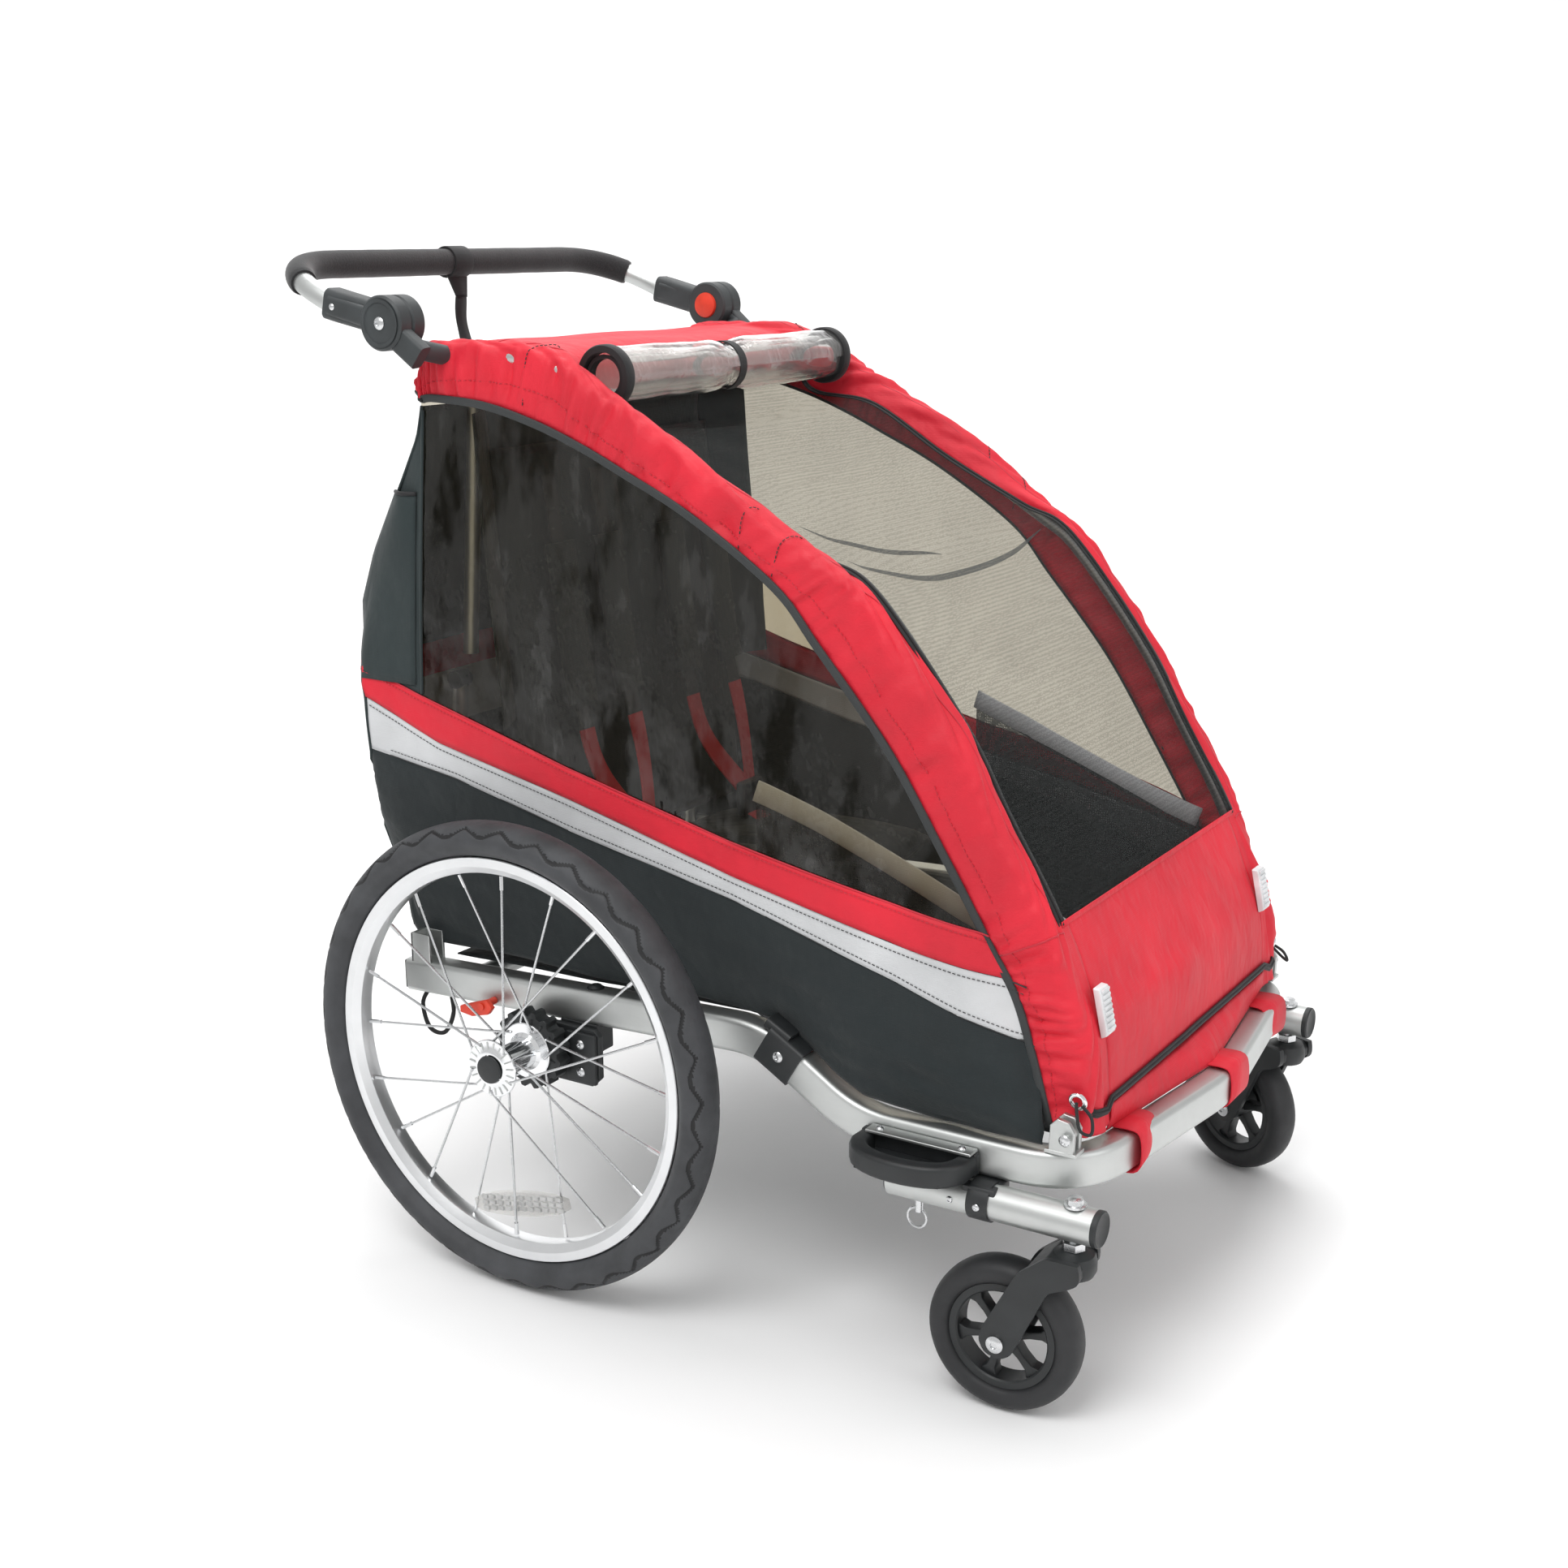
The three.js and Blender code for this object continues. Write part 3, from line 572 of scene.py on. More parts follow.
def sheet_piece(name, shape, material, body=None, node=None, thickness=0.0012):
    """A sheet of cloth with a real thickness."""
    obj = piece(name, mesh_from(*shape), material, body, node)
    return thicken(obj, thickness) if thickness else obj


def cord(name, line, section, material, body=None, up=(0, 1, 0)):
    """A section swept along a line, as one piece: piping, a seam or a binding."""
    return piece(name, mesh_from(*tube(line, section, up=up)), material, body)


def ripple(point, scale, seed=0.0):
    """Smooth noise from -1 to 1 at a point."""
    return noise.noise(Vector(point) * scale + Vector((seed, seed * 1.7, seed * 0.3)))


def stitches(points, normals, pitch=0.0046, length=0.0030, radius=0.00045):
    """A row of short thread dashes along a line, lying on the surface."""
    meshes = []
    total = sum((b - a).length for a, b in zip(points, points[1:]))
    count = max(2, int(total / pitch))
    line = resample(points, count * 2)
    lift = resample(normals, count * 2)
    for k in range(0, len(line) - 1, 2):
        run = (line[k + 1] - line[k]).normalized() * length / 2
        middle = (line[k] + line[k + 1]) / 2 + lift[k].normalized() * radius
        meshes.append(tube([middle - run, middle + run], round_section(radius, 5), up=lift[k]))
    return merged(meshes)


def mm(x, y, z):
    return Vector((x * MM, y * MM, z * MM))


def flat_mm(points):
    """Pairs of millimetres in metres."""
    return [(a * MM, b * MM) for a, b in points]


def around_circle(count=24):
    """The cosine and sine of evenly spaced angles."""
    return [(math.cos(2 * math.pi * k / count), math.sin(2 * math.pi * k / count)) for k in range(count)]


def knots(pairs):
    """A straight-line function of x through (x, value) pairs."""
    def at(x):
        for (x0, v0), (x1, v1) in zip(pairs, pairs[1:]):
            if x <= x1 or (x1, v1) == pairs[-1]:
                return v0 + (v1 - v0) * (x - x0) / (x1 - x0)
    return at


def solve(function, low, high):
    """The place between low and high where the function changes sign."""
    rising = function(high) > function(low)
    for _ in range(40):
        middle = (low + high) / 2
        if (function(middle) > 0) == rising:
            high = middle
        else:
            low = middle
    return (low + high) / 2


def smoothly(x, low, high):
    t = min(max((x - low) / (high - low), 0.0), 1.0)
    return t * t * (3 - 2 * t)


# ---- Hood, screen and front panel ----

# Stations from the rear hem to the front feet (millimetres): crown, piped hem and inner edge, in X and Z.
STATIONS = (
    ((-318, 902), (-305, 893), (-318, 902)), ((-307, 938), (-303, 895), (-307, 938)),
    ((-285, 950), (-285, 896), (-285, 948)), ((-215, 953), (-224, 891), (-215, 949)),
    ((-142, 943), (-163, 876), (-162, 934)), ((-88, 911), (-110, 857), (-132, 880)),
    ((-35, 882), (-60, 835), (-50, 866)), ((59, 824), (20, 797), (45, 811)),
    ((160, 764), (112, 738), (137, 765)), ((209, 728), (158, 687), (198, 736)),
    ((290, 628), (232, 600), (290, 624)), ((340, 545), (292, 508), (338, 543)),
    ((390, 459), (340, 430), (390, 456)), ((420, 386), (366, 388), (421, 384)),
    ((437, 342), (384, 337), (436, 341)), ((443, 262), (404, 268), (442, 262)),
)
CROWN, HEM, EDGE = ([mm(s[k][0], 0, s[k][1]) for s in STATIONS] for k in range(3))
SEAM_Z = 449 * MM
ROOF_FRONT = -146 * MM
# Distance from the middle, then how far the point lies from the crown towards the hem or the edge.
SECTION = ((251.5, "hem", 999), (251.5, "hem", 30), (249, "hem", 8), (243, "hem", 1.5),
           (237, "edge", 0), (231, "edge", 0.06), (225, "edge", 0.3), (219.5, "edge", 1))
U_ROOF = solve(lambda u: spline(EDGE, u).x - ROOF_FRONT, 0.2, 0.6)
U_SEAM = solve(lambda u: SEAM_Z - spline(EDGE, u).z, 0.6, 0.98)


def hood_knot(u, knot):
    y, kind, share = knot
    crown = spline(CROWN, u)
    target = spline(HEM if kind == "hem" else EDGE, u)
    if kind == "hem":
        share = min(1.0, share * MM / (target - crown).length)
    at = crown.lerp(target, share)
    at.y = y * MM
    return at


def hood_point(u, v):
    """v from 0 at the hem to 1 at the inner edge of the hood's side band."""
    return spline([hood_knot(u, knot) for knot in SECTION], v)


def hood_wrinkle(u, v, side):
    """Small outward push: gathers that rise from the piping, and soft folds across the band."""
    run = u * 3.0
    gathers = ripple((run * 30, v * 2.5, side), 1.0, 3.0) * (1 - smoothly(v, 0.02, 0.7)) * smoothly(v, 0.0, 0.06)
    slant = ripple((run * 14 + v * 5, v * 1.8, side * 2), 1.0, 12.0)
    folds = ripple((run * 5 + v * 2, v * 1.4, side * 3), 1.0, 8.0)
    inside = smoothly(v, 0.0, 0.1) * (1 - smoothly(v, 0.85, 1.0))
    pleats = ripple((run * 45 + v * 4, v * 3, side * 5), 1.0, 21.0) * (1 - smoothly(v, 0.1, 0.5))
    return (gathers * 6.5 + pleats * 3.0 * smoothly(v, 0.0, 0.08) + (folds * 5.0 + slant * 5.5) * inside) * MM


def hood_side(u, v, side):
    at = hood_point(u, v)
    across = hood_point(u, min(v + 0.02, 1)) - hood_point(u, max(v - 0.02, 0))
    along = hood_point(min(u + 0.01, 1), v) - hood_point(max(u - 0.01, 0), v)
    out = across.cross(along).normalized()
    if out.y < 0 and v < 0.5 or out.x + out.z < 0 and v >= 0.5:
        out = -out
    at += out * hood_wrinkle(u, v, side)
    if side == LEFT:
        at.z += 0.013 * math.exp(-((at.x - 0.045) / 0.085) ** 2) * math.sin(math.pi * v) ** 0.8
    at.y = max(at.y, 0.19) * side
    return at


def roof_point(u, y):
    """The roof between the side bands, sagging a little between its two bars."""
    at = spline(EDGE, u)
    share = y / 0.2195
    bars = math.sin(math.pi * smoothly(at.x, -0.285, -0.19)) if -0.285 < at.x < -0.19 else 0.0
    droop = (1 - share * share) * (bars * 5 + smoothly(at.x, -0.17, -0.1) * 5) * MM
    soft = ripple((at.x * 9, y * 9, 2.0), 1.0, 5.0) * 3.6 * MM * (1 - share ** 4) * smoothly(u, 0.02, 0.1)
    return Vector((at.x, y, at.z - droop + soft))


def hood_sheet():
    """One continuous sheet: both side bands, the roof between them and the legs beside the front panel."""
    us = sorted(set(even(430) + [U_ROOF, U_SEAM]))
    vs = even(32)
    roof_ys = even(22, -0.2195, 0.2195)[1:-1]
    leg_ys = [0.2148, 0.2100, 0.2050]
    bm = bmesh.new()
    rows = []
    for u in us:
        right = [bm.verts.new(hood_side(u, v, RIGHT)) for v in vs]
        left = [bm.verts.new(hood_side(u, v, LEFT)) for v in reversed(vs)]
        roof = [bm.verts.new(roof_point(u, y)) for y in roof_ys] if u <= U_ROOF + 1e-9 else None
        legs = None
        if u >= U_SEAM - 1e-9:
            flat = spline(EDGE, u)
            legs = [[bm.verts.new((flat.x, side * y, flat.z)) for y in leg_ys] for side in (RIGHT, LEFT)]
        rows.append((right, left, roof, legs))
    for a, b in zip(rows, rows[1:]):
        strips = [(a[0], b[0]), (a[1], b[1])]
        if a[2] and b[2]:
            strips.append((a[0][-1:] + a[2] + a[1][:1], b[0][-1:] + b[2] + b[1][:1]))
        if a[3] and b[3]:
            strips.append((a[0][-1:] + a[3][0], b[0][-1:] + b[3][0]))
            strips.append((a[3][1][::-1] + a[1][:1], b[3][1][::-1] + b[1][:1]))
        for low, high in strips:
            for i in range(len(low) - 1):
                bm.faces.new((low[i], low[i + 1], high[i + 1], high[i]))
    bmesh.ops.recalc_face_normals(bm, faces=bm.faces)
    data = bpy.data.meshes.new("hood")
    bm.to_mesh(data)
    bm.free()
    return data


hood = piece("hood_canopy", hood_sheet(), "red", "cage", "hood")
thicken(hood, 0.0012)
cut_from(hood, (0.64, 1.16))

# Black piping all round the hem of each side and across the roof's rear edge.
for side, name in SIDES:
    hem_line = [hood_side(u, 0, side) + Vector((0, side * 0.0022, 0)) for u in even(150)]
    cord(f"hem_piping_{name}", hem_line, box_section(0.0080, 0.0036, 0.0014, 2), "binding", "cage")
rear_hem = [hood_side(0, v, RIGHT) for v in even(10)] + [roof_point(0, y) for y in even(20, -0.215, 0.215)]
rear_hem += [hood_side(0, v, LEFT) for v in even(10)[::-1]]
cord("rear_piping", rear_hem, round_section(0.0026, 10), "trim", "cage", up=(0, 0, 1))


def screen_point(u, v):
    """The screen: an open net that sags between its zips, with three soft swags below its top edge."""
    y = -0.2165 + 0.433 * v
    at = spline(EDGE, U_ROOF + (U_SEAM - U_ROOF) * u)
    share = math.sin(math.pi * v) ** 0.8
    sag = (math.sin(math.pi * min(u * 1.5, 1.0) ** 0.8) * 9 + math.sin(math.pi * u) * 6) * share
    fold = 0.0
    for reach, depth, width in ((0.12, 10, 0.035), (0.22, 7, 0.03), (0.33, 4.5, 0.03)):
        line = reach * math.sin(math.pi * (0.12 + 0.76 * v)) ** 0.8
        fold += depth * math.exp(-((u - line) / width) ** 2) * share
    soft = ripple((u * 7, v * 4, 1.0), 1.0, 6.0) * 2.0 * share
    down = Vector((-0.45, 0, -0.9)).normalized()
    return Vector((at.x, y, at.z)) + down * (sag + fold + soft) * MM + Vector((0.001, 0, 0.001))


net = piece("screen_net", mesh_from(*grid(screen_point, even(90), even(60))), "net", "cage", "screen")
cut_from(net, (0.45, 0.67))


# Two long creases where the slack net folds over itself: points are X and Y in millimetres.
FOLDS = {
    "upper": ((-70, -176), (-26, -158), (5, -132), (60, -92), (104, -52), (140, -34)),
    "lower": ((70, -190), (142, -186), (177, -130), (186, -36), (180, 80), (160, 170)),
}
for key, line in FOLDS.items():
    middle = [Vector((solve(lambda u: spline(EDGE, u).x - x * MM, 0.2, 0.8), (y + 216.5) / 433, 0))
              for x, y in line]

    def fold_point(along, across):
        at = spline(middle, along)
        ahead, behind = spline(middle, min(along + 0.02, 1)), spline(middle, max(along - 0.02, 0))
        run = (screen_point(ahead.x, ahead.y) - screen_point(behind.x, behind.y)).normalized()
        half = 4.5 * math.sin(math.pi * (0.04 + 0.92 * along)) * MM
        sideways = run.cross(Vector((0.5, 0, 0.86))) * half * (2 * across - 1)
        return screen_point(at.x, at.y) + sideways + mm(0.8, 0, 0.8)

    fold = piece(f"screen_fold_{key}", mesh_from(*grid(fold_point, even(60), even(4))), "fold", "cage")
    cut_from(fold, (0.010, 0.16))


def tape(name, line, width, material, lift=0.0006):
    """A flat tape along a line on the hood."""
    vertices, faces = [], []
    for i, p in enumerate(line):
        ahead, behind = line[min(i + 1, len(line) - 1)], line[max(i - 1, 0)]
        out = edge_out(p).normalized()
        across = (ahead - behind).cross(out).normalized() * width / 2
        vertices.extend([p - across + out * lift, p + across + out * lift])
        if i:
            k = 2 * i
            faces.append((k - 2, k - 1, k + 1, k))
    return sheet_piece(name, (vertices, faces), material, "cage")


def edge_out(p):
    """Outward direction from inside the cabin, near the hood."""
    return Vector((p.x + 0.10, 0, p.z - 0.45))


screen_us = even(80, U_ROOF, U_SEAM)
for side, name in SIDES:
    line = [spline(EDGE, u) + Vector((0, side * 0.2175, 0)) for u in screen_us]
    tape(f"screen_zip_tape_{name}", line, 0.013, "trim")
    teeth = [p + edge_out(p).normalized() * 0.0018 for p in line]
    cord(f"screen_zip_teeth_{name}", teeth, round_section(0.0016, 6), "trim", "cage")
for key, u, width, paint, lift in (("top", U_ROOF, 0.012, "trim", 0.0006),
                                   ("seam", U_SEAM, 0.007, "red", 0.0014)):
    line = [spline(EDGE, u) + Vector((0, y, 0)) for y in even(20, -0.2195, 0.2195)]
    tape(f"screen_{key}_binding", line, width, paint, lift)


FRONT_OUT = Vector((0.94, 0, 0.34))


def front_point(u, v):
    """The front panel below the screen, down to the rail."""
    y = -0.2060 + 0.4120 * v
    at = spline(EDGE, U_SEAM + (1 - U_SEAM) * u)
    share = math.sin(math.pi * v) ** 0.5
    rise = math.sin(math.pi * u)
    bulge = (rise * 5 + ripple((u * 3, v * 5, 4.0), 1.0, 2.0) * 3.2 * rise) * share
    pull = ripple((u * 1.2 + v * 4, v * 9 - u * 5, 9.0), 1.0, 4.0) * 1.5 * rise
    return Vector((at.x, y, at.z)) + FRONT_OUT * (bulge + pull) * MM


front = sheet_piece("front_flap", grid(front_point, even(50), even(80)), "red", None, "front_panel")
cut_from(front, (0.44, 0.21))
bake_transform(front, "chassis", "cage", start=(0.43, 0, 0.27), end=(0.41, 0, 0.42))


# ---- Cabin sides ----

SIDE_TOP = ((-400, 655), (-377, 736), (-340, 802), (-306, 880), (-224, 888), (-124, 862), (-29, 822), (62, 773),
            (115, 736), (168, 675), (219, 616), (262, 555), (305, 486), (340, 426), (370, 370), (394, 290),
            (404, 264))
SIDE_BOTTOM = ((-400, 600), (-377, 420), (-340, 338), (-306, 337), (-224, 322), (115, 322), (168, 290),
               (219, 258), (404, 257))
REAR_EDGE = ((318, -343), (330, -352), (428, -373), (490, -391), (525, -380), (588, -384), (621, -399),
             (683, -397), (736, -377), (805, -340), (856, -312), (893, -304))
BAND_LINES = {
    "window": ((-403, 621), (-306, 594), (-221, 571), (-118, 542), (-20, 518), (75, 495), (165, 477), (252, 460),
               (347, 438)),
    "red": ((-403, 592), (-283, 547), (-116, 510), (77, 461), (255, 423), (390, 395)),
    "grey": ((-403, 532), (-354, 525), (-263, 511), (-117, 476), (77, 436), (255, 388), (402, 338)),
    "tub": ((-403, 316), (-333, 316), (-199, 320), (-104, 316), (27, 320), (110, 316), (160, 292), (215, 262),
            (300, 254), (404, 256)),
}
side_top, side_bottom = knots(SIDE_TOP), knots(SIDE_BOTTOM)
rear_edge = knots(REAR_EDGE)
bands = {key: knots(line) for key, line in BAND_LINES.items()}
hem_z = knots(sorted((p.x / MM, p.z / MM) for p in [spline(HEM, u) for u in even(300)]))


def belly_y(x, z):
    """How far out the cabin side stands at a point, in millimetres."""
    low, high = side_bottom(x), side_top(x)
    v = min(max((z - low) / max(high - low, 1), 0.0), 1.0)
    return 253.5 + 23.5 * math.sin(math.pi * v ** 0.7) * min(1.0, (high - low) / 200)


def side_point(x, z, side, push=0.0):
    return mm(x, side * (belly_y(x, z) + push), z)


def band_sheet(lower, upper, side, nu, nv, wrinkle):
    """A sheet between two lines of the cabin side, from its rear edge to the hem."""
    def line(t):
        return lambda x: lower(x) + (upper(x) - lower(x)) * t

    ends = []
    for t in even(nv):
        at = line(t)
        front = solve(lambda x: hem_z(x) - at(x), 150, 403.5)
        back = solve(lambda x: x - rear_edge(at(x)), -402, -300)
        ends.append((at, back, front))
    rows = []
    for i in range(nu + 1):
        for at, back, front in ends:
            x = back + (front - back) * i / nu
            z = at(x)
            rows.append(side_point(x, z, side, wrinkle(x, z)))
    return rows, grid_faces(nu, nv)


def taut(x, z):
    return 0.5 + 0.7 * ripple((x / 70, z / 30, 1), 1.0, 4.0)


def red_band(x, z):
    return 1.6 + 0.9 * ripple((x / 45, z / 16, 2), 1.0, 2.0)


def loose(x, z):
    """The lower wall: pulled taut at the top, bunching where it lies over the dip of the rail."""
    low, high = side_bottom(x), bands["grey"](x)
    v = min(max((z - low) / (high - low), 0.0), 1.0)
    front = smoothly(x, 60, 230)
    bunch = (1 - v) ** 1.5 * (2 + 8 * front)
    folds = ripple((x / 55 + z / 60, z / 22, 3), 1.0, 7.0) * (2 + 6 * front) * (1 - v) ** 0.7
    return bunch + folds + 0.8 * ripple((x / 40, z / 40, 9), 1.0, 1.0)


def film_wave(x, z):
    """The flexible window: vertical slack near its rear edge, and shallow dents elsewhere."""
    rear = 1 - smoothly(x, -300, -120)
    slack = ripple((x / 16 + 3 * ripple((x / 60, z / 90, 0), 1.0, 1.0), z / 150, 5), 1.0, 2.0) * 2.6 * rear
    dents = ripple((x / 60 + z / 90, z / 70, 7), 1.0, 4.0) * 1.6
    return slack + dents


def window_sheet(side, nu=110, nv=60):
    lower = bands["window"]
    front = solve(lambda x: hem_z(x) - lower(x), 200, 400)
    xs = [-306 + (front - 1.5 + 306) * (i / nu) ** 0.93 for i in range(nu + 1)]
    rows = []
    for x in xs:
        high = hem_z(max(x, -300)) + 3
        for t in even(nv):
            z = lower(x) + (high - lower(x)) * t
            edge = min(t, 1 - t, (x + 306) / 40, (front - x) / 40)
            rows.append(side_point(x, z, side, 0.4 + film_wave(x, z) * smoothly(edge, 0, 0.12)))
    return rows, grid_faces(nu, nv)


def rear_side_sheet(side, nu=18, nv=50):
    """The cloth between the rear edge of the cabin and the window."""
    rows = []
    for i in range(nu + 1):
        for t in even(nv):
            back = rear_edge(590 + (886 - 590) * t)
            x = back + (-304 - back) * i / nu
            low = bands["window"](x)
            z = low + (min(886, side_top(x) + 8) - low) * t
            back = rear_edge(z)
            x = back + (-304 - back) * i / nu
            rows.append(side_point(x, z, side, 0.3 + 1.2 * ripple((x / 25, z / 60, 2), 1.0, 6.0)))
    return rows, grid_faces(nu, nv)


def side_line(at_z, side, low, high, push, count=120):
    return [side_point(x, at_z(x), side, push) for x in even(count, low, high)]


def folding(obj):
    """Attaches a wall to the chassis, with a mesh of its own."""
    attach(obj, "chassis")
    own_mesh(obj)
    return obj


def wall(name, shape, material, flat, node=None, thickness=0.0012):
    obj = sheet_piece(name, shape, material, None, node, thickness)
    cut_from(obj, flat)
    return folding(obj)


for side, name in SIDES:
    wall(f"window_{name}", window_sheet(side), "window", (0.66, 0.36), f"side_panel_{name}", 0)
    wall(f"rear_wing_{name}", rear_side_sheet(side), "rear", (0.12, 0.32))
    wall(f"red_band_{name}", band_sheet(bands["red"], bands["window"], side, 160, 6, red_band), "red",
         (0.78, 0.04))
    wall(f"grey_band_{name}", band_sheet(bands["grey"], bands["red"], side, 160, 8, taut), "grey", (0.80, 0.06))
    wall(f"tub_wall_{name}", band_sheet(bands["tub"], bands["grey"], side, 170, 34, loose), "black", (0.80, 0.24))
    for key, low, high, push, radius, paint in (
            ("window", -398, 340, 1.9, 0.9, "red_thread"), ("red", -380, 378, 0.9, 0.8, "thread"),
            ("grey", -352, 392, 0.4, 0.8, "thread")):
        seam = side_line(bands[key], side, low, high, push)
        folding(cord(f"{key}_seam_{name}", seam, round_section(radius * MM, 6), paint))
    for key, drop, low, high, push, paint in (("window", -5, -396, 338, 2.6, "red_thread"),
                                              ("red", -7, -378, 375, 1.4, "thread"),
                                              ("grey", 6, -350, 385, 1.4, "thread")):
        row = side_line(lambda x: bands[key](x) + drop, side, low, high, push, 90)
        dashes = stitches(row, [Vector((0, side, 0))] * len(row))
        folding(piece(f"{key}_stitches_{name}", mesh_from(*dashes), paint))
    pocket = []
    for i in range(13):
        for t in even(20):
            z = 604 + 196 * t
            back = rear_edge(z) - 3
            x = back + (-312 - back) * i / 12
            bag = math.sin(math.pi * i / 12) * (2 + 7 * smoothly(t, 0.3, 1.0))
            pocket.append(side_point(x, z, side, 1.6 + bag))
    wall(f"side_pocket_{name}", (pocket, grid_faces(12, 20)), "rear", (0.09, 0.20))
    folding(cord(f"pocket_hem_{name}", pocket[20::21], round_section(0.0022, 8), "trim"))
    rear_line = [side_point(rear_edge(z), z, side, 0.6) for z in even(60, 330, 888)]
    folding(cord(f"rear_binding_{name}", rear_line, round_section(0.0018, 8), "rear"))
    window_back = [side_point(-304, z, side, 1.2) for z in even(40, 596, 884)]
    folding(cord(f"window_rear_seam_{name}", window_back, round_section(0.0016, 8), "rear"))


# ---- Rear wall and floor ----

def rear_wall(v, u):
    z = 318 + (888 - 318) * u
    share = 1 - abs(2 * v - 1) ** 4
    x = rear_edge(z) + 2 + (4 + 5 * ripple((v * 5, u * 4, 0), 1.0, 3.0)) * share
    half = min(belly_y(max(rear_edge(z), -398), z), 266)
    return mm(x, half * (2 * v - 1), z)


back = sheet_piece("rear_wall", grid(rear_wall, even(60), even(90)), "black", None, "rear_panel")
for paint in ("grey", "red", "rear"):
    back.data.materials.append(MATERIALS[paint])
for face in back.data.polygons:
    height = face.center.z / MM
    face.material_index = sum(height >= top for top in (532, 592, 621))
cut_from(back, (0.53, 0.62))
folding(back)


def back_pocket(v, u):
    at = rear_wall(0.12 + 0.76 * v, (640 + 130 * u - 318) / 570)
    return at + mm(-4 - 9 * math.sin(math.pi * v) * smoothly(u, 0.2, 1.0), 0, 0)


pocket = piece("rear_pocket", mesh_from(*grid(back_pocket, even(30), even(14))), "dense_net")
cut_from(pocket, (0.42, 0.14))
folding(pocket)
pocket_top = [back_pocket(v, 1.0) for v in even(30)]
folding(cord("rear_pocket_hem", pocket_top, round_section(0.003, 8), "trim", up=(0, 0, 1)))


def floor_point(u, v):
    line = knots(((-300, 305), (112, 315), (205, 261), (418, 261)))
    x = -300 + 716 * u
    sag = math.sin(math.pi * v) * (6 if x > 205 or x < 112 else 2)
    return mm(x, -247 + 494 * v, line(x) - 1 - sag + 1.2 * ripple((x / 60, v * 6, 0), 1.0, 2.0))


floor_sheet = sheet_piece("floor_cloth", grid(floor_point, even(60), even(40)), "black", "chassis", "floor_panel",
                          0.0015)
cut_from(floor_sheet, (0.76, 0.50))


# ---- Wheels ----

AXLE = mm(-150, 0, 248)
WHEEL_Y = 343
SPOKES = 20
REFLECTOR_SLANT = math.radians(-12.3)


def wheel_frame(side):
    """Turns a wheel's own millimetres (outboard is +Y) into place."""
    def place(x, y, z):
        return mm(-150 + side * x, side * (WHEEL_Y + y), 248 + z)
    return place


def tyre_mesh(side, around=560, across=60):
    """A tyre with scalloped grooves on both shoulders and a row of sipes down the middle."""
    place = wheel_frame(side)
    outline = [(214.6, -11.5), (217.0, -15.5)]
    for k in range(across + 1):
        angle = math.radians(-34 + 248 * k / across)
        rise = 18.5 if math.sin(angle) > 0 else 14.5
        outline.append((229.5 + rise * math.sin(angle), -23.5 * math.cos(angle)))
    outline += [(217.0, 15.5), (214.6, 11.5)]
    vertices, grooves = [], []
    for i in range(around):
        turn = 2 * math.pi * i / around
        for r, y in outline:
            side_share = min(abs(y) / 23.5, 1.0)
            depth = 0.0
            if r > 231:
                scallop = 0.60 + 0.30 * abs(math.sin(turn * 17 + (math.pi / 4 if y > 0 else 0)))
                depth = 2.6 * math.exp(-((side_share - scallop) / 0.045) ** 2)
                sipe = abs(math.sin(turn * 44 + y * 0.12))
                depth += 1.1 * max(0.0, 1 - sipe / 0.18) * (1 - smoothly(side_share, 0.3, 0.5))
            grooves.append(depth)
            scale = (r - depth * math.cos(math.asin(min(side_share, 1.0)) * 0.6)) / r
            x, z = r * scale * math.cos(turn), r * scale * math.sin(turn)
            vertices.append(place(x, y * (1 - depth * 0.01), z))
    n = len(outline)
    faces = []
    for i in range(around):
        a, b = i * n, (i + 1) % around * n
        for j in range(n):
            k = (j + 1) % n
            faces.append((a + j, a + k, b + k, b + j))
    # Faces deep in a groove are flagged for the near-black second material: painted shade in the grooves.
    dark = [sum(grooves[i] for i in face) / 4 > 0.75 for face in faces]
    return vertices, faces, dark


def ring(profile, side, sides=96):
    """Turned about the wheel's axis; the profile is (radius, outboard)."""
    points = [(r * MM, side * y * MM) for r, y in profile]
    return lathe(points, AXLE + Vector((0, side * WHEEL_Y * MM, 0)), (0, 1, 0), sides)


def spoke_ends(i):
    at_rim = i / SPOKES * 2 * math.pi
    lace = (1 if i % 4 < 2 else -1) * 0.75
    y = 29 if i % 2 else -24
    root = (25 * math.cos(at_rim + lace), y, 25 * math.sin(at_rim + lace))
    tip = (194 * math.cos(at_rim), 3 if i % 2 else -3, 194 * math.sin(at_rim))
    return root, tip


def on_reflector(x, z):
    """From a spoke reflector's own millimetres to the cabin's, at its place and slant between the spokes."""
    c, s = math.cos(REFLECTOR_SLANT), math.sin(REFLECTOR_SLANT)
    return -143.5 + x * c + z * s, 89 - x * s + z * c


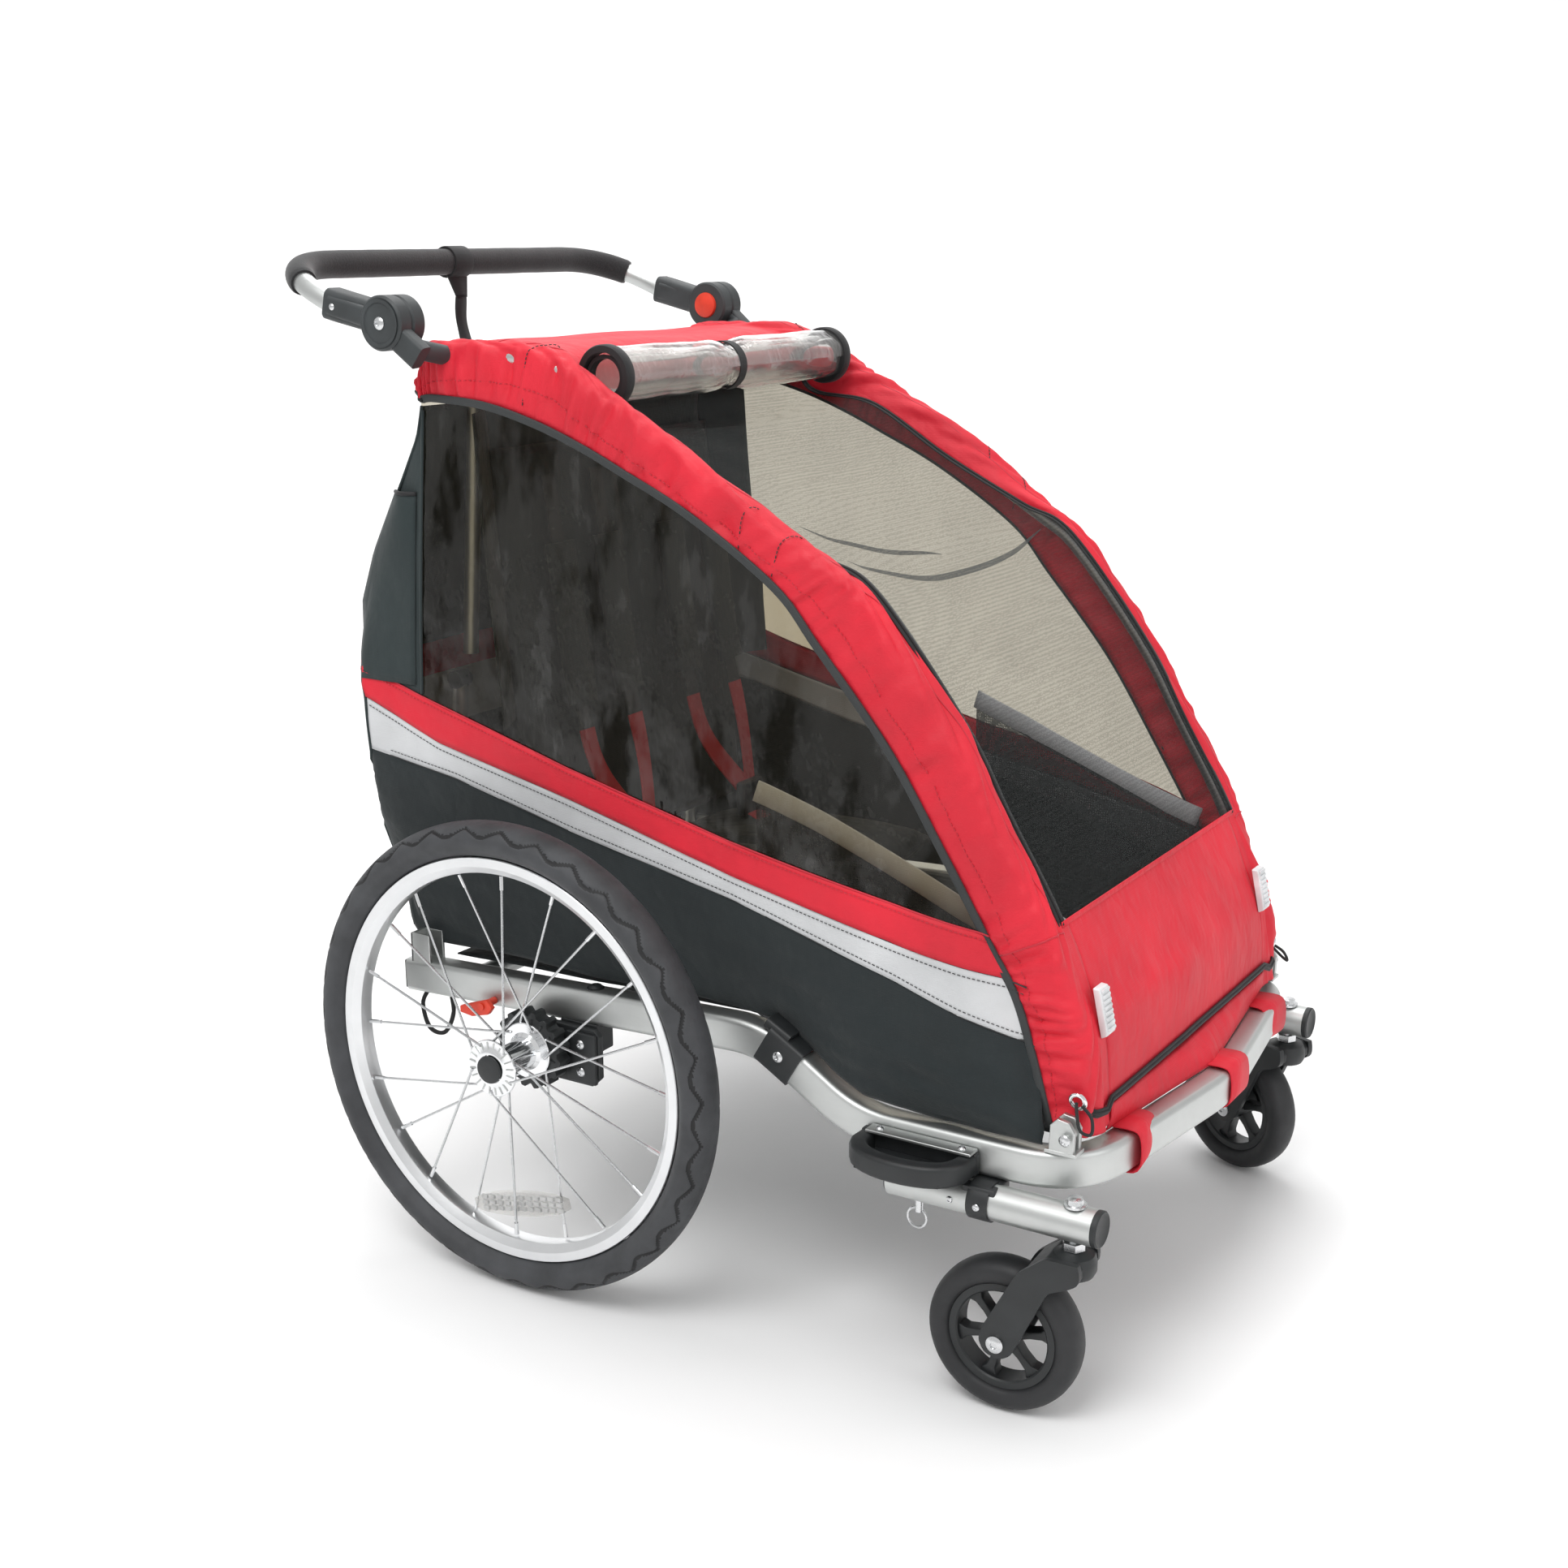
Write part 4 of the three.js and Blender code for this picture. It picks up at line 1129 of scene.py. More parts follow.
for side, name in SIDES:
    body = f"wheel_{name}"
    place = wheel_frame(side)
    *tyre_shape, dark = tyre_mesh(side)
    tyre_data = mesh_from(*tyre_shape)
    for paint in ("rubber", "groove_shade"):
        tyre_data.materials.append(MATERIALS[paint])
    # The flagged deep groove faces take the near-black rubber that paints shade into the grooves.
    tyre_data.polygons.foreach_set("material_index", [int(flag) for flag in dark])
    piece(f"tyre_tread_{name}", fix_normals(tyre_data), "rubber", body, f"tyre_{name}")
    rim_profile = [(196, -6), (196.6, -8), (203, -13.2), (204.2, -14), (213.2, -14), (214, -13.2), (214, -11.6),
                   (210.5, -11), (210.5, 11), (214, 11.6), (214, 13.2), (213.2, 14), (204.2, 14), (203, 13.2),
                   (196.6, 8), (196, 6)]
    solid_piece(f"rim_ring_{name}", [ring(rim_profile, side, 128)], "rim", body, f"rim_{name}", 25)
    wires, nipples = [], []
    for i in range(SPOKES):
        root, tip = spoke_ends(i)
        flange = 29 if i % 2 else -24
        elbow = (root[0], flange + (2.6 if i % 4 < 2 else -2.6), root[2])
        run = [place(root[0], flange, root[2]), place(*elbow), place(*tip)]
        wires.append(tube(run, round_section(0.0013, 8)))
        inward = (Vector(root) - Vector(tip)).normalized() * 14
        nipples.append(tube([place(*tip), place(*(Vector(tip) + inward))], round_section(0.0021, 8)))
    solid_piece(f"spokes_{name}", wires, "steel", body)
    solid_piece(f"spoke_nipples_{name}", nipples, "polished", body)
    hub_profile = [(6, -95), (6, -26), (9, -26), (9.5, -27.4), (29.2, -26.6), (30, -25.6), (30, -23.6),
                   (29, -22.8), (20, -22), (16.5, -19), (15.5, -12), (15, 2), (15.5, 14), (17, 23), (21, 27),
                   (29, 28.2), (30, 29), (30, 30.4), (29.2, 31), (21, 31.2), (18.5, 32.6), (15.1, 32.9),
                   (15.1, 28), (1, 28), (1, -95)]
    solid_piece(f"hub_shell_{name}", [ring(hub_profile, side, 64)], "polished", body, f"hub_{name}", 30)
    ribs = []
    for i in range(20):
        turn = 2 * math.pi * (i + 0.5) / 20
        c, s = math.cos(turn), math.sin(turn)
        ribs.append(tube([place(19 * c, 31.4, 19 * s), place(28 * c, 31.2, 28 * s)], round_section(0.0009, 6)))
    solid_piece(f"hub_ribs_{name}", ribs, "alloy", body)
    cap = [(0.2, 33.9), (14.3, 33.9), (14.5, 35), (14, 36.6), (11, 37.6), (6, 38), (0.2, 38.1)]
    button = f"axle_button_{name}"
    solid_piece(f"hub_cap_{name}", [ring(cap, side, 40)], "plastic", button, button, 40)
    teeth = []
    for k in range(32):
        reach = 42 if k % 2 else 37
        for shift in (-0.3, 0.3):
            turn = (k + shift) / 16 * math.pi
            teeth.append((AXLE.x + side * reach * MM * math.cos(turn), AXLE.z + reach * MM * math.sin(turn)))
    near, far = sorted((side * (WHEEL_Y - 26.3) * MM, side * (WHEEL_Y - 44) * MM))
    cog_parts = [slab(teeth, near, far, "xz", 0.0008),
                 ring([(6.4, -48.2), (30, -48.2), (31, -47), (31, -43.5), (6.4, -43.5)], side, 40)]
    for k in range(16):
        turn = (k + 0.5) / 8 * math.pi
        c, s = math.cos(turn), math.sin(turn)
        cog_parts.append(tube([place(12 * c, -26.2, 12 * s), place(35 * c, -26.2, 35 * s)],
                              round_section(0.0012, 6)))
    solid_piece(f"brake_drum_{name}", cog_parts, "plastic", body, f"brake_cog_{name}", 30)
    lens = [(-61 + 122 * k / 12, 13 * math.sin(math.pi * (k + 0.35) / 12.7) ** 0.35) for k in range(13)]
    outline = [on_reflector(x, z) for x, z in lens + [(x, -z) for x, z in reversed(lens)]]
    low, high = sorted((side * (WHEEL_Y - 4.5), side * (WHEEL_Y + 4.5)))
    lens_mesh = slab(flat_mm(outline), low * MM, high * MM, "xz", 0.0012)
    solid_piece(f"spoke_reflector_{name}", [lens_mesh], "clear", body)
    cells = []
    for k in range(-5, 6):
        for row in (-6, 0, 6):
            wx, wz = on_reflector(k * 10, row)
            cells.append(block((wx - 3.6) * MM, (wx + 3.6) * MM, side * (WHEEL_Y - 1.6) * MM,
                               side * (WHEEL_Y + 1.6) * MM, (wz - 2.2) * MM, (wz + 2.2) * MM, 0.0005))
    solid_piece(f"reflector_prisms_{name}", cells, "reflector", body)


# ---- Casters ----

# How far each fork is turned, in degrees, and the axle's place behind the fork's stem.
CASTER_TURN = {"right": 3, "left": -22}
CASTER_AXLE = mm(-62.9, 0, 74.8)
for side, name in SIDES:
    turn = math.radians(CASTER_TURN[name])
    stem = mm(447, side * 289, 0)
    place = Matrix.Translation(stem) @ Matrix.Rotation(turn, 4, "Z")

    leg = [(14, 171), (-18, 171), (-44, 150), (-76, 90), (-80, 76), (-74, 64), (-60, 59.5), (-48, 66), (-14, 138),
           (6, 147), (15, 153), (16, 163)]
    rounded = [(p.x * MM, p.z * MM) for p in bent([(x, 0, z) for x, z in leg + leg[:1]], 5, 3)]
    meshes = [slab(rounded[1:], low * MM, high * MM, "xz", 0.002) for low, high in ((20.6, 27), (-27, -20.6))]
    crown = [(8, 170.5), (-18, 170.5), (-36, 157), (-24, 151), (8, 150), (15, 156), (15, 164)]
    meshes.append(slab(flat_mm(crown), -0.0215, 0.0215, "xz", 0.002))
    head = [(0.1, 150), (19, 150), (21.5, 155), (21.5, 164), (19, 170), (13, 172), (11, 173.4), (0.1, 173.5)]
    meshes.append(turned(flat_mm(head), (0, 0, 0), (0, 0, 1), 40))
    solid_piece(f"fork_body_{name}", [moved(place, m) for m in meshes], "plastic", f"fork_{name}",
                f"caster_fork_{name}", 40)
    bolts = []
    for end in (-1, 1):
        dome = [(0.1, 26.5), (8.2, 26.5), (8.4, 29), (6, 30.6), (3.4, 31), (3, 29.4), (0.1, 29.4)]
        bolts.append(turned([(r * MM, end * y * MM) for r, y in dome], CASTER_AXLE, (0, 1, 0), 24))
    solid_piece(f"fork_axle_bolt_{name}", [moved(place, m) for m in bolts], "steel", f"fork_{name}")

    body = f"caster_{name}"
    tread = [(52.9, -13), (56, -16.6), (61, -18), (66, -17.6), (70.5, -15), (73.4, -10.5), (74.6, -5), (74.8, 0),
             (74.6, 5), (73.4, 10.5), (70.5, 15), (66, 17.6), (61, 18), (56, 16.6), (52.9, 13)]
    tread_mesh = lathe(flat_mm(tread), CASTER_AXLE, (0, 1, 0), 72)
    solid_piece(f"caster_tread_{name}", [moved(place, tread_mesh)], "caster_rubber", body,
                f"caster_tyre_{name}", 50)
    felloe = [(44.5, -11), (46, -12.5), (52.4, -12.5), (52.4, 12.5), (46, 12.5), (44.5, 11)]
    boss = [(0.1, -17), (12.5, -17), (14, -15.5), (15, 0), (14, 15.5), (12.5, 17), (0.1, 17)]
    hub_parts = [lathe(flat_mm(felloe), CASTER_AXLE, (0, 1, 0), 72),
                 turned(flat_mm(boss), CASTER_AXLE, (0, 1, 0), 32)]
    for k in range(6):
        angle = math.pi / 3 * k + 0.2
        c, s = math.cos(angle), math.sin(angle)
        arm = [(11, -5.5), (26, -3.4), (38, -4.2), (46, -9.5), (46, 9.5), (38, 4.2), (26, 3.4), (11, 5.5)]
        outline = [((x * c - z * s) * MM + CASTER_AXLE.x, (x * s + z * c) * MM + CASTER_AXLE.z) for x, z in arm]
        hub_parts.append(slab(outline, -0.0075, 0.0075, "xz", 0.0015))
    solid_piece(f"caster_hub_{name}", [moved(place, m) for m in hub_parts], "plastic", body,
                f"caster_wheel_{name}", 40)


# ---- Rail frame ----

def rod(a, b, radius, sides=24):
    return tube([a, b], round_section(radius * MM, sides))


def screw_head(centre, axis, radius=5.0, height=2.6, sides=20):
    """A domed screw head standing on a surface."""
    r, h = radius * MM, height * MM
    return turned([(0.0001, 0), (r, 0), (r, h * 0.35), (r * 0.8, h * 0.8), (r * 0.45, h), (r * 0.4, h * 0.5),
                   (0.0001, h * 0.5)], centre, axis, sides)


rail_half = [(-345, -266, 281), (110, -266, 299), (212, -266, 234), (440, -266, 234)]
rail_line = [mm(*p) for p in rail_half] + [mm(476.2, 0, 234)]
rail_line += [mm(x, -y, z) for x, y, z in reversed(rail_half)]
rail = bent(rail_line, [0.040, 0.040, 0.062, 0.040, 0.062, 0.040, 0.040], 12)
rail_parts = [tube(rail, box_section(0.028, 0.036, 0.006, 4))]
for side, name in SIDES:
    rail_parts.append(block(-0.338, -0.312, side * 0.253, side * 0.2565, 0.290, 0.330, 0.001))
    rail_parts.append(block(-0.338, -0.312, side * 0.2745, side * 0.278, 0.290, 0.330, 0.001))
    rail_parts.append(block(-0.338, -0.3345, side * 0.253, side * 0.278, 0.290, 0.330, 0.001))
solid_piece("rail_frame", rail_parts, "alloy", "chassis", "chassis_frame", 50)
for key, node, x, z, half, radius in (("rear_cross_bar", "rear_cross_tube", -285, 275, 252, 11),
                                      ("front_cross_bar", "front_cross_tube", 130, 288, 252, 10),
                                      ("axle_bar", "axle_tube", -150, 248, 280.5, 12.5)):
    solid_piece(key, [rod(mm(x, -half, z), mm(x, half, z), radius, 40)], "alloy", "chassis", node)

for side, name in SIDES:
    def at(x, y, z):
        return mm(x, side * y, z)

    outward = Vector((0, side, 0))
    plug_outline = [(0.2535, 0.2655), (0.2785, 0.2655), (0.2785, 0.2975), (0.2535, 0.2975)]
    plug = slab([(side * y, z) for y, z in plug_outline], -0.3485, -0.3400, "yz", 0.002)
    solid_piece(f"rail_plug_{name}", [plug], "plastic", "chassis")

    # Bolted bracket between the axle and the rail, and the brake's red pedal.
    plate = [(-178, 222), (-170, 210), (-90, 210), (-80, 220), (-80, 266), (-86, 272), (-172, 272), (-178, 266)]
    bracket = [slab(flat_mm(plate), *sorted((side * 0.281, side * 0.2885)), "xz", 0.0015),
               block(-0.118, -0.082, side * 0.2885, side * 0.2935, 0.214, 0.268, 0.0015),
               block(-0.135, -0.088, side * 0.2530, side * 0.2805, 0.243, 0.2745, 0.002)]
    solid_piece(f"axle_plate_{name}", bracket, "plastic", "chassis", f"axle_bracket_{name}")
    heads = [screw_head(at(-100, 293.5, 256), outward), screw_head(at(-100, 293.5, 226), outward),
             screw_head(at(-168, 288.5, 262), outward)]
    solid_piece(f"axle_plate_screws_{name}", heads, "steel", "chassis")
    lever = [(-252, 264), (-236, 262), (-214, 268), (-208, 276), (-216, 284), (-236, 277), (-252, 271)]
    lever_parts = [slab(flat_mm(lever), *sorted((side * 0.296, side * 0.302)), "xz", 0.0015),
                   rod(at(-222, 280.6, 276), at(-222, 304, 276), 4)]
    solid_piece(f"brake_pedal_{name}", lever_parts, "red_plastic", f"brake_lever_{name}", f"brake_lever_{name}")

    # Step bumper: a half-round hoop, a bar across it and an alloy tread plate.
    bow = []
    for k in range(17):
        angle = math.pi * k / 16
        bow.append(at(288 - 53 * math.cos(angle), 280.9 + 9 + 45 * math.sin(angle) ** 0.6, 230))
    hoop = tube(bow, box_section(0.017, 0.021, 0.004, 3), scale=[0.9] + [1.0] * 15 + [0.9])
    bumper_parts = [hoop, block(0.228, 0.348, side * 0.2809, side * 0.2900, 0.2195, 0.2405, 0.002),
                    block(0.2440, 0.3320, side * 0.2880, side * 0.3330, 0.2205, 0.2245, 0.001)]
    solid_piece(f"step_hoop_{name}", bumper_parts, "plastic", "chassis", f"side_bumper_{name}", 45)
    tread = [block(0.236, 0.346, side * 0.2815, side * 0.2975, 0.2408, 0.2438, 0.001)]
    solid_piece(f"step_plate_{name}", tread, "alloy", "chassis")
    solid_piece(f"step_screws_{name}", [screw_head(at(x, 289.5, 243.8), (0, 0, 1), 4.2) for x in (248, 334)],
                "steel", "chassis")

    # The clip round the rail at its dip, and the anchor of the strap that holds the cabin to the rail.
    clip_line = [at(112, 266, 298), at(148, 266, 276.5)]
    clip = tube(clip_line, box_section(0.0335, 0.0415, 0.005, 3), up=(0, 0, 1))
    clip_block = tube([at(114, 266, 318), at(140, 266, 304)], box_section(0.026, 0.012, 0.004, 3))
    solid_piece(f"rail_clip_{name}", [clip, clip_block], "plastic", "chassis")
    solid_piece(f"rail_clip_screw_{name}", [screw_head(at(131, 282.6, 288), outward, 5.5)], "steel", "chassis")
    anchor = [screw_head(at(-99, 266, 309), (0, 0, 1), 7.5, 4), rod(at(-99, 266, 306), at(-99, 266, 309.6), 9)]
    solid_piece(f"strap_anchor_{name}", anchor, "plastic", "chassis")

    # Caster arm under the rail: a capped tube, its collar with a rivet, a spring button and a pull ring.
    arm_body = tube([at(262, 289, 199), at(469, 289, 199)], round_section(0.017, 40))
    solid_piece(f"arm_tube_{name}", [arm_body], "alloy", "chassis", f"caster_arm_{name}")
    end_cap = turned([(0.0001, 0.468), (0.0172, 0.468), (0.0173, 0.4725), (0.0160, 0.4739), (0.0120, 0.4720),
                      (0.0001, 0.4718)], at(0, 289, 199), (1, 0, 0), 40)
    back_cap = turned([(0.0001, 0.260), (0.0155, 0.260), (0.0170, 0.262), (0.0001, 0.262)], at(0, 289, 199),
                      (1, 0, 0), 40)
    collar = tube([at(347, 289, 199), at(368, 289, 199)], round_section(0.0190, 40))
    hanger = block(0.3405, 0.3735, side * 0.2700, side * 0.3020, 0.2060, 0.2158, 0.002)
    solid_piece(f"arm_fittings_{name}", [end_cap, back_cap, collar, hanger], "plastic", "chassis")
    studs = [screw_head(at(358, 308, 199), outward, 3.6, 1.8), screw_head(at(330, 305.6, 199), outward, 3.4, 2.2)]
    solid_piece(f"arm_studs_{name}", studs, "steel", "chassis")
    bolt = [rod(at(447, 289, 174), at(447, 289, 219), 5.2),
            turned([(0.0001, 0.2160), (0.0105, 0.2160), (0.0105, 0.2180), (0.0080, 0.2185), (0.0072, 0.2228),
                    (0.0040, 0.2240), (0.0001, 0.2240)], at(447, 289, 0), (0, 0, 1), 24)]
    solid_piece(f"stem_bolt_{name}", bolt, "steel", "chassis")
    nut = tube([at(447, 289, 174.2), at(447, 289, 181.5)], round_section(0.0108, 6))
    solid_piece(f"stem_nut_{name}", [nut], "steel", "chassis", f"caster_bolt_{name}")
    ring_line = [at(288 + 10 * c, 289, 163 + 10 * s) for c, s in around_circle()]
    pull = [rod(at(290, 289, 170), at(290, 289, 191), 4),
            tube(ring_line, round_section(0.0012, 8), closed=True, up=(0, 1, 0))]
    solid_piece(f"pull_ring_{name}", pull, "steel", f"release_pin_{name}", f"release_pin_{name}")

    # Foot of the hoop: a lug on the rail and its pivot.
    lug = [(412, 252.5), (436, 252.5), (437, 276), (431, 285), (420, 287), (413, 280)]
    foot = [slab(flat_mm(lug), *sorted((side * 0.2545, side * 0.2600)), "xz", 0.001),
            slab(flat_mm(lug), *sorted((side * 0.2680, side * 0.2735)), "xz", 0.001),
            block(0.4080, 0.4390, side * 0.2540, side * 0.2740, 0.2523, 0.2560, 0.001),
            rod(at(430, 251.5, 270), at(430, 279, 270), 4)]
    solid_piece(f"hoop_lug_{name}", foot, "alloy", "chassis", f"hoop_pivot_{name}")
    screws = [screw_head(at(430, 278.5, 270), outward, 5.5), screw_head(at(418, 264, 256), (0, 0, 1), 3.6)]
    solid_piece(f"hoop_lug_screws_{name}", screws, "steel", "chassis")

    # Elastic loop and eyelet that tie the hood's corner to the lug.
    loop = resample([at(436, 255, 296), at(447, 259, 288), at(450, 266, 276), at(441, 270, 279),
                     at(434, 262, 290), at(430, 255, 298)], 30)
    solid_piece(f"corner_elastic_{name}", [tube(loop, round_section(0.0016, 8))], "trim", "chassis")
    eyelet = [at(431 + 7 * c, 253.8 + 1.5 * s, 299 + 7 * s) for c, s in around_circle()]
    solid_piece(f"corner_eyelet_{name}", [tube(eyelet, round_section(0.0022, 10), closed=True, up=(0, 1, 0))],
                "polished", "cage")
    hang = resample([at(-322, 270, 268), at(-327, 276, 250), at(-316, 279, 226), at(-296, 278, 224),
                     at(-286, 274, 246), at(-291, 270, 266)], 40)
    solid_piece(f"tail_elastic_{name}", [tube(hang, round_section(0.0024, 8))], "trim", "chassis")

# Three tabs of the front panel wrap the nose of the rail, each with a hook-and-loop end.
for k, y in enumerate((-172, 12, 186)):
    path = [(447, 255), (460, 255), (484, 255), (490.5, 246), (490.8, 224), (484, 214), (466, 213)]
    curve = resample([mm(x - 0.135 * abs(y), y, z) for x, z in path], 24)
    slant = 0.0 if abs(y) <= 50 else math.copysign(2.88, -y)
    half = mm(slant, -24, 0)
    band = [q for p in curve for q in (p + half, p - half)]
    tab = sheet_piece(f"nose_tab_{k + 1}", (band, grid_faces(23, 1)), "red", "chassis", None, 0.0016)
    cut_from(tab, (0.05, 0.09))


# ---- Cabin hoops, roof bars and rear struts ----

def hoop_line(side):
    line = []
    for i in range(1, 61):
        u = 0.03 + i / 60 * 0.97
        at = spline(CROWN, u)
        run = (spline(CROWN, min(u + 0.004, 1)) - spline(CROWN, max(u - 0.004, 0))).normalized()
        line.append(Vector((at.x + run.z * 0.014, side * 0.237, at.z - run.x * 0.014)))
    return line


for side, name in SIDES:
    hoop = tube(hoop_line(side), round_section(0.008, 16), up=(0, 1, 0))
    solid_piece(f"hoop_tube_{name}", [hoop], "alloy", "cage",
                f"cabin_hoop_{name}")
solid_piece("rear_roof_tube", [rod(mm(-292, -228, 925), mm(-292, 228, 925), 8)], "alloy", "cage", "roof_bar_rear")
solid_piece("front_roof_tube", [rod(mm(-185, -228, 926), mm(-185, 228, 926), 7)], "alloy", "cage",
            "roof_bar_front")
for side, name in SIDES:
    leg = [rod(mm(-325, side * 214, 312), mm(-308, side * 214, 600), 8),
           rod(mm(-325, side * 214, 318), mm(-325, side * 252.6, 318), 4)]
    solid_piece(f"strut_leg_{name}", leg, "alloy", "rear_legs", f"rear_leg_{name}")
    hinge = [rod(mm(-308, side * 205, 600), mm(-308, side * 224, 600), 9.5)]
    solid_piece(f"strut_hinge_{name}", hinge, "plastic", "rear_legs")
upper = [rod(mm(-286, -202, 893), mm(-286, 202, 893), 8)]
upper += [rod(mm(-286, side * 196, 893), mm(-308, side * 196, 625), 8) for side, _ in SIDES]
solid_piece("strut_upper", upper, "alloy", "rear_upper", "rear_frame_upper")


# ---- Handlebar ----

HANDLE = mm(-310, 0, 971)
SOCKET = mm(-388.5, 0, 989)
corner = (-473.5, 292, 1025)
bar_end = (-375.6, 283.9, 983.6)
HANDLE_BEND = 0.098


def bar_path():
    x, y, z = bar_end
    cx, cy, cz = corner
    return bent([mm(x, -y, z), mm(cx, -cy, cz), mm(cx, cy, cz), mm(x, y, z)], HANDLE_BEND, 24)


def fine(points, count=120):
    """Evenly spaced points along a polyline."""
    lengths = [0.0]
    for a, b in zip(points, points[1:]):
        lengths.append(lengths[-1] + (b - a).length)
    out, k = [], 0
    for i in range(count + 1):
        want = lengths[-1] * i / count
        while k < len(lengths) - 2 and lengths[k + 1] < want:
            k += 1
        out.append(points[k].lerp(points[k + 1], (want - lengths[k]) / (lengths[k + 1] - lengths[k])))
    return out


solid_piece("push_bar", [tube(bar_path(), round_section(0.011, 32))], "alloy", "handle", "handlebar")
foam_line = fine(bar_path(), 190)[17:-17]
swell = [1.0 + 0.02 * ripple(p, 14, 3.0) + 0.012 * ripple(p, 60, 5.0) for p in foam_line]
swell[0] = swell[-1] = 0.93
grip = solid_piece("grip_foam", [tube(foam_line, round_section(0.0145, 32), scale=swell)], "foam", "handle",
                   "handle_grip", 60)

for side, name in SIDES:
    outward = Vector((0, side, 0))
    middle = side * 0.285

    def disc(y0, y1, radius, bevel=0.0022):
        """A round cheek of the tilt joint with eased edges."""
        low, high = sorted((y0, y1))
        profile = [(0.0001, low), (radius - bevel, low), (radius, low + bevel), (radius, high - bevel),
                   (radius - bevel, high), (0.0001, high)]
        return turned(profile, HANDLE, (0, 1, 0), 56)

    pivot = Vector((HANDLE.x, middle, HANDLE.z))
    moving = [disc(middle - side * 0.019, middle - side * 0.0003, 0.027),
              tube([Vector((HANDLE.x - 0.020, middle - side * 0.004, HANDLE.z + 0.0046)),
                    Vector((SOCKET.x + 0.014, middle, SOCKET.z - 0.0032)), Vector((SOCKET.x, middle, SOCKET.z))],
                   box_section(0.0310, 0.0285, 0.007, 4), up=(0, 1, 0), scale=[0.98, 1.0, 1.0])]
    collar_run = (SOCKET - HANDLE).normalized()
    collar_at = Vector((SOCKET.x, middle, SOCKET.z))
    moving.append(tube([collar_at - collar_run * 0.060, collar_at - collar_run * 0.006],
                       box_section(0.0200, 0.0320, 0.004, 3), up=(0, 1, 0)))
    solid_piece(f"tilt_inner_{name}", moving, "joint", "handle", f"handle_joint_{name}", 40)
    solid_piece(f"socket_screw_{name}",
                [screw_head(collar_at - collar_run * 0.014 + Vector((0, side * 0.0158, 0)), outward, 3.4, 2)],
                "steel", "handle")
    button = [(0.0001, 0.0), (0.0148, 0.0), (0.0150, 0.0015), (0.0140, 0.0040), (0.0100, 0.0052),
              (0.0001, 0.0058)]
    knob = [(r, -side * (y - 0.001)) for r, y in button]
    solid_piece(f"tilt_button_{name}", [turned(knob, pivot - outward * 0.019, (0, 1, 0), 40)],
                "red_plastic", f"handle_button_{name}", f"handle_button_{name}", 40)

    arm_line = bent([Vector((HANDLE.x, side * 0.294, HANDLE.z)), mm(-280, side * 290, 947),
                     mm(-276, side * 246, 938)], 0.012, 8)
    fixed = [disc(middle + side * 0.0003, middle + side * 0.019, 0.027), tube(arm_line, round_section(0.010, 24)),
             tube([Vector((HANDLE.x + 0.006, side * 0.2945, HANDLE.z - 0.006)),
                   Vector((HANDLE.x + 0.040, side * 0.2905, HANDLE.z - 0.033))],
                  box_section(0.0260, 0.0160, 0.004, 3), up=(0, 1, 0))]
    lip = [(0.0225, 0.0185), (0.0235, 0.0202), (0.0200, 0.0202), (0.0190, 0.0185)]
    fixed.append(lathe([(r, side * y) for r, y in lip], pivot, (0, 1, 0), 56))
    solid_piece(f"tilt_outer_{name}", fixed, "joint", "cage", f"handle_bracket_{name}", 40)
    solid_piece(f"tilt_bolt_{name}",
                [screw_head(pivot + outward * 0.0190, outward, 6.4, 3.2, 24)],
                "steel", "cage")

# Webbing loop round the grip, and the strap from it down to the roof.
wrap = [mm(-473.5 + 16.4 * c, 0, 1025 + 16.4 * s) for c, s in around_circle()]
solid_piece("grip_webbing", [tube(wrap, box_section(0.0024, 0.030, 0.001, 2), up=(0, 1, 0), closed=True)], "trim",
            "handle")
loop_line = [(mm(-470 + 6 * t, 0, 1012 - 26 * t), 0.017 - 0.0085 * t) for t in even(8)]
strap_line = [(p, 0.0085 + 0.0005 * math.sin(i * 0.7)) for i, p in enumerate(resample(
    [mm(-465, 0, 990), mm(-465, 0, 955), mm(-446, 0, 912), mm(-398, 0, 891), mm(-327, 0, 893)], 40))]
strap_vertices = [p + Vector((0, edge * half, 0)) for p, half in loop_line + strap_line for edge in (-1, 1)]
strap_faces = grid_faces(len(strap_vertices) // 2 - 1, 1)
strap = sheet_piece("pull_strap", (strap_vertices, strap_faces), "trim", None, "handle_strap", 0.002)
cut_from(strap, (0.020, 0.24))
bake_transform(strap, "cage", "handle", start=mm(-327, 0, 893), end=mm(-465, 0, 985))


# ---- Rain cover rolled on the roof ----

ROLL = mm(-108, 0, 920)


def roll_surface(u, v):
    """The rolled clear film, nipped by its strap in the middle."""
    y = -0.208 + 0.416 * u
    turn = 2 * math.pi * v
    nip = math.exp(-(y / 0.020) ** 2) * 0.0055
    soft = ripple((math.cos(turn) * 1.4, y * 9, math.sin(turn) * 1.4), 1.0, 3.0) * 0.0022
    creases = ripple((math.cos(turn) * 3, y * 26, math.sin(turn) * 3), 1.0, 7.0) * 0.0013
    r = 0.0285 - nip + soft + creases - 0.003 * v
    return ROLL + Vector((r * math.cos(turn), y, r * math.sin(turn)))


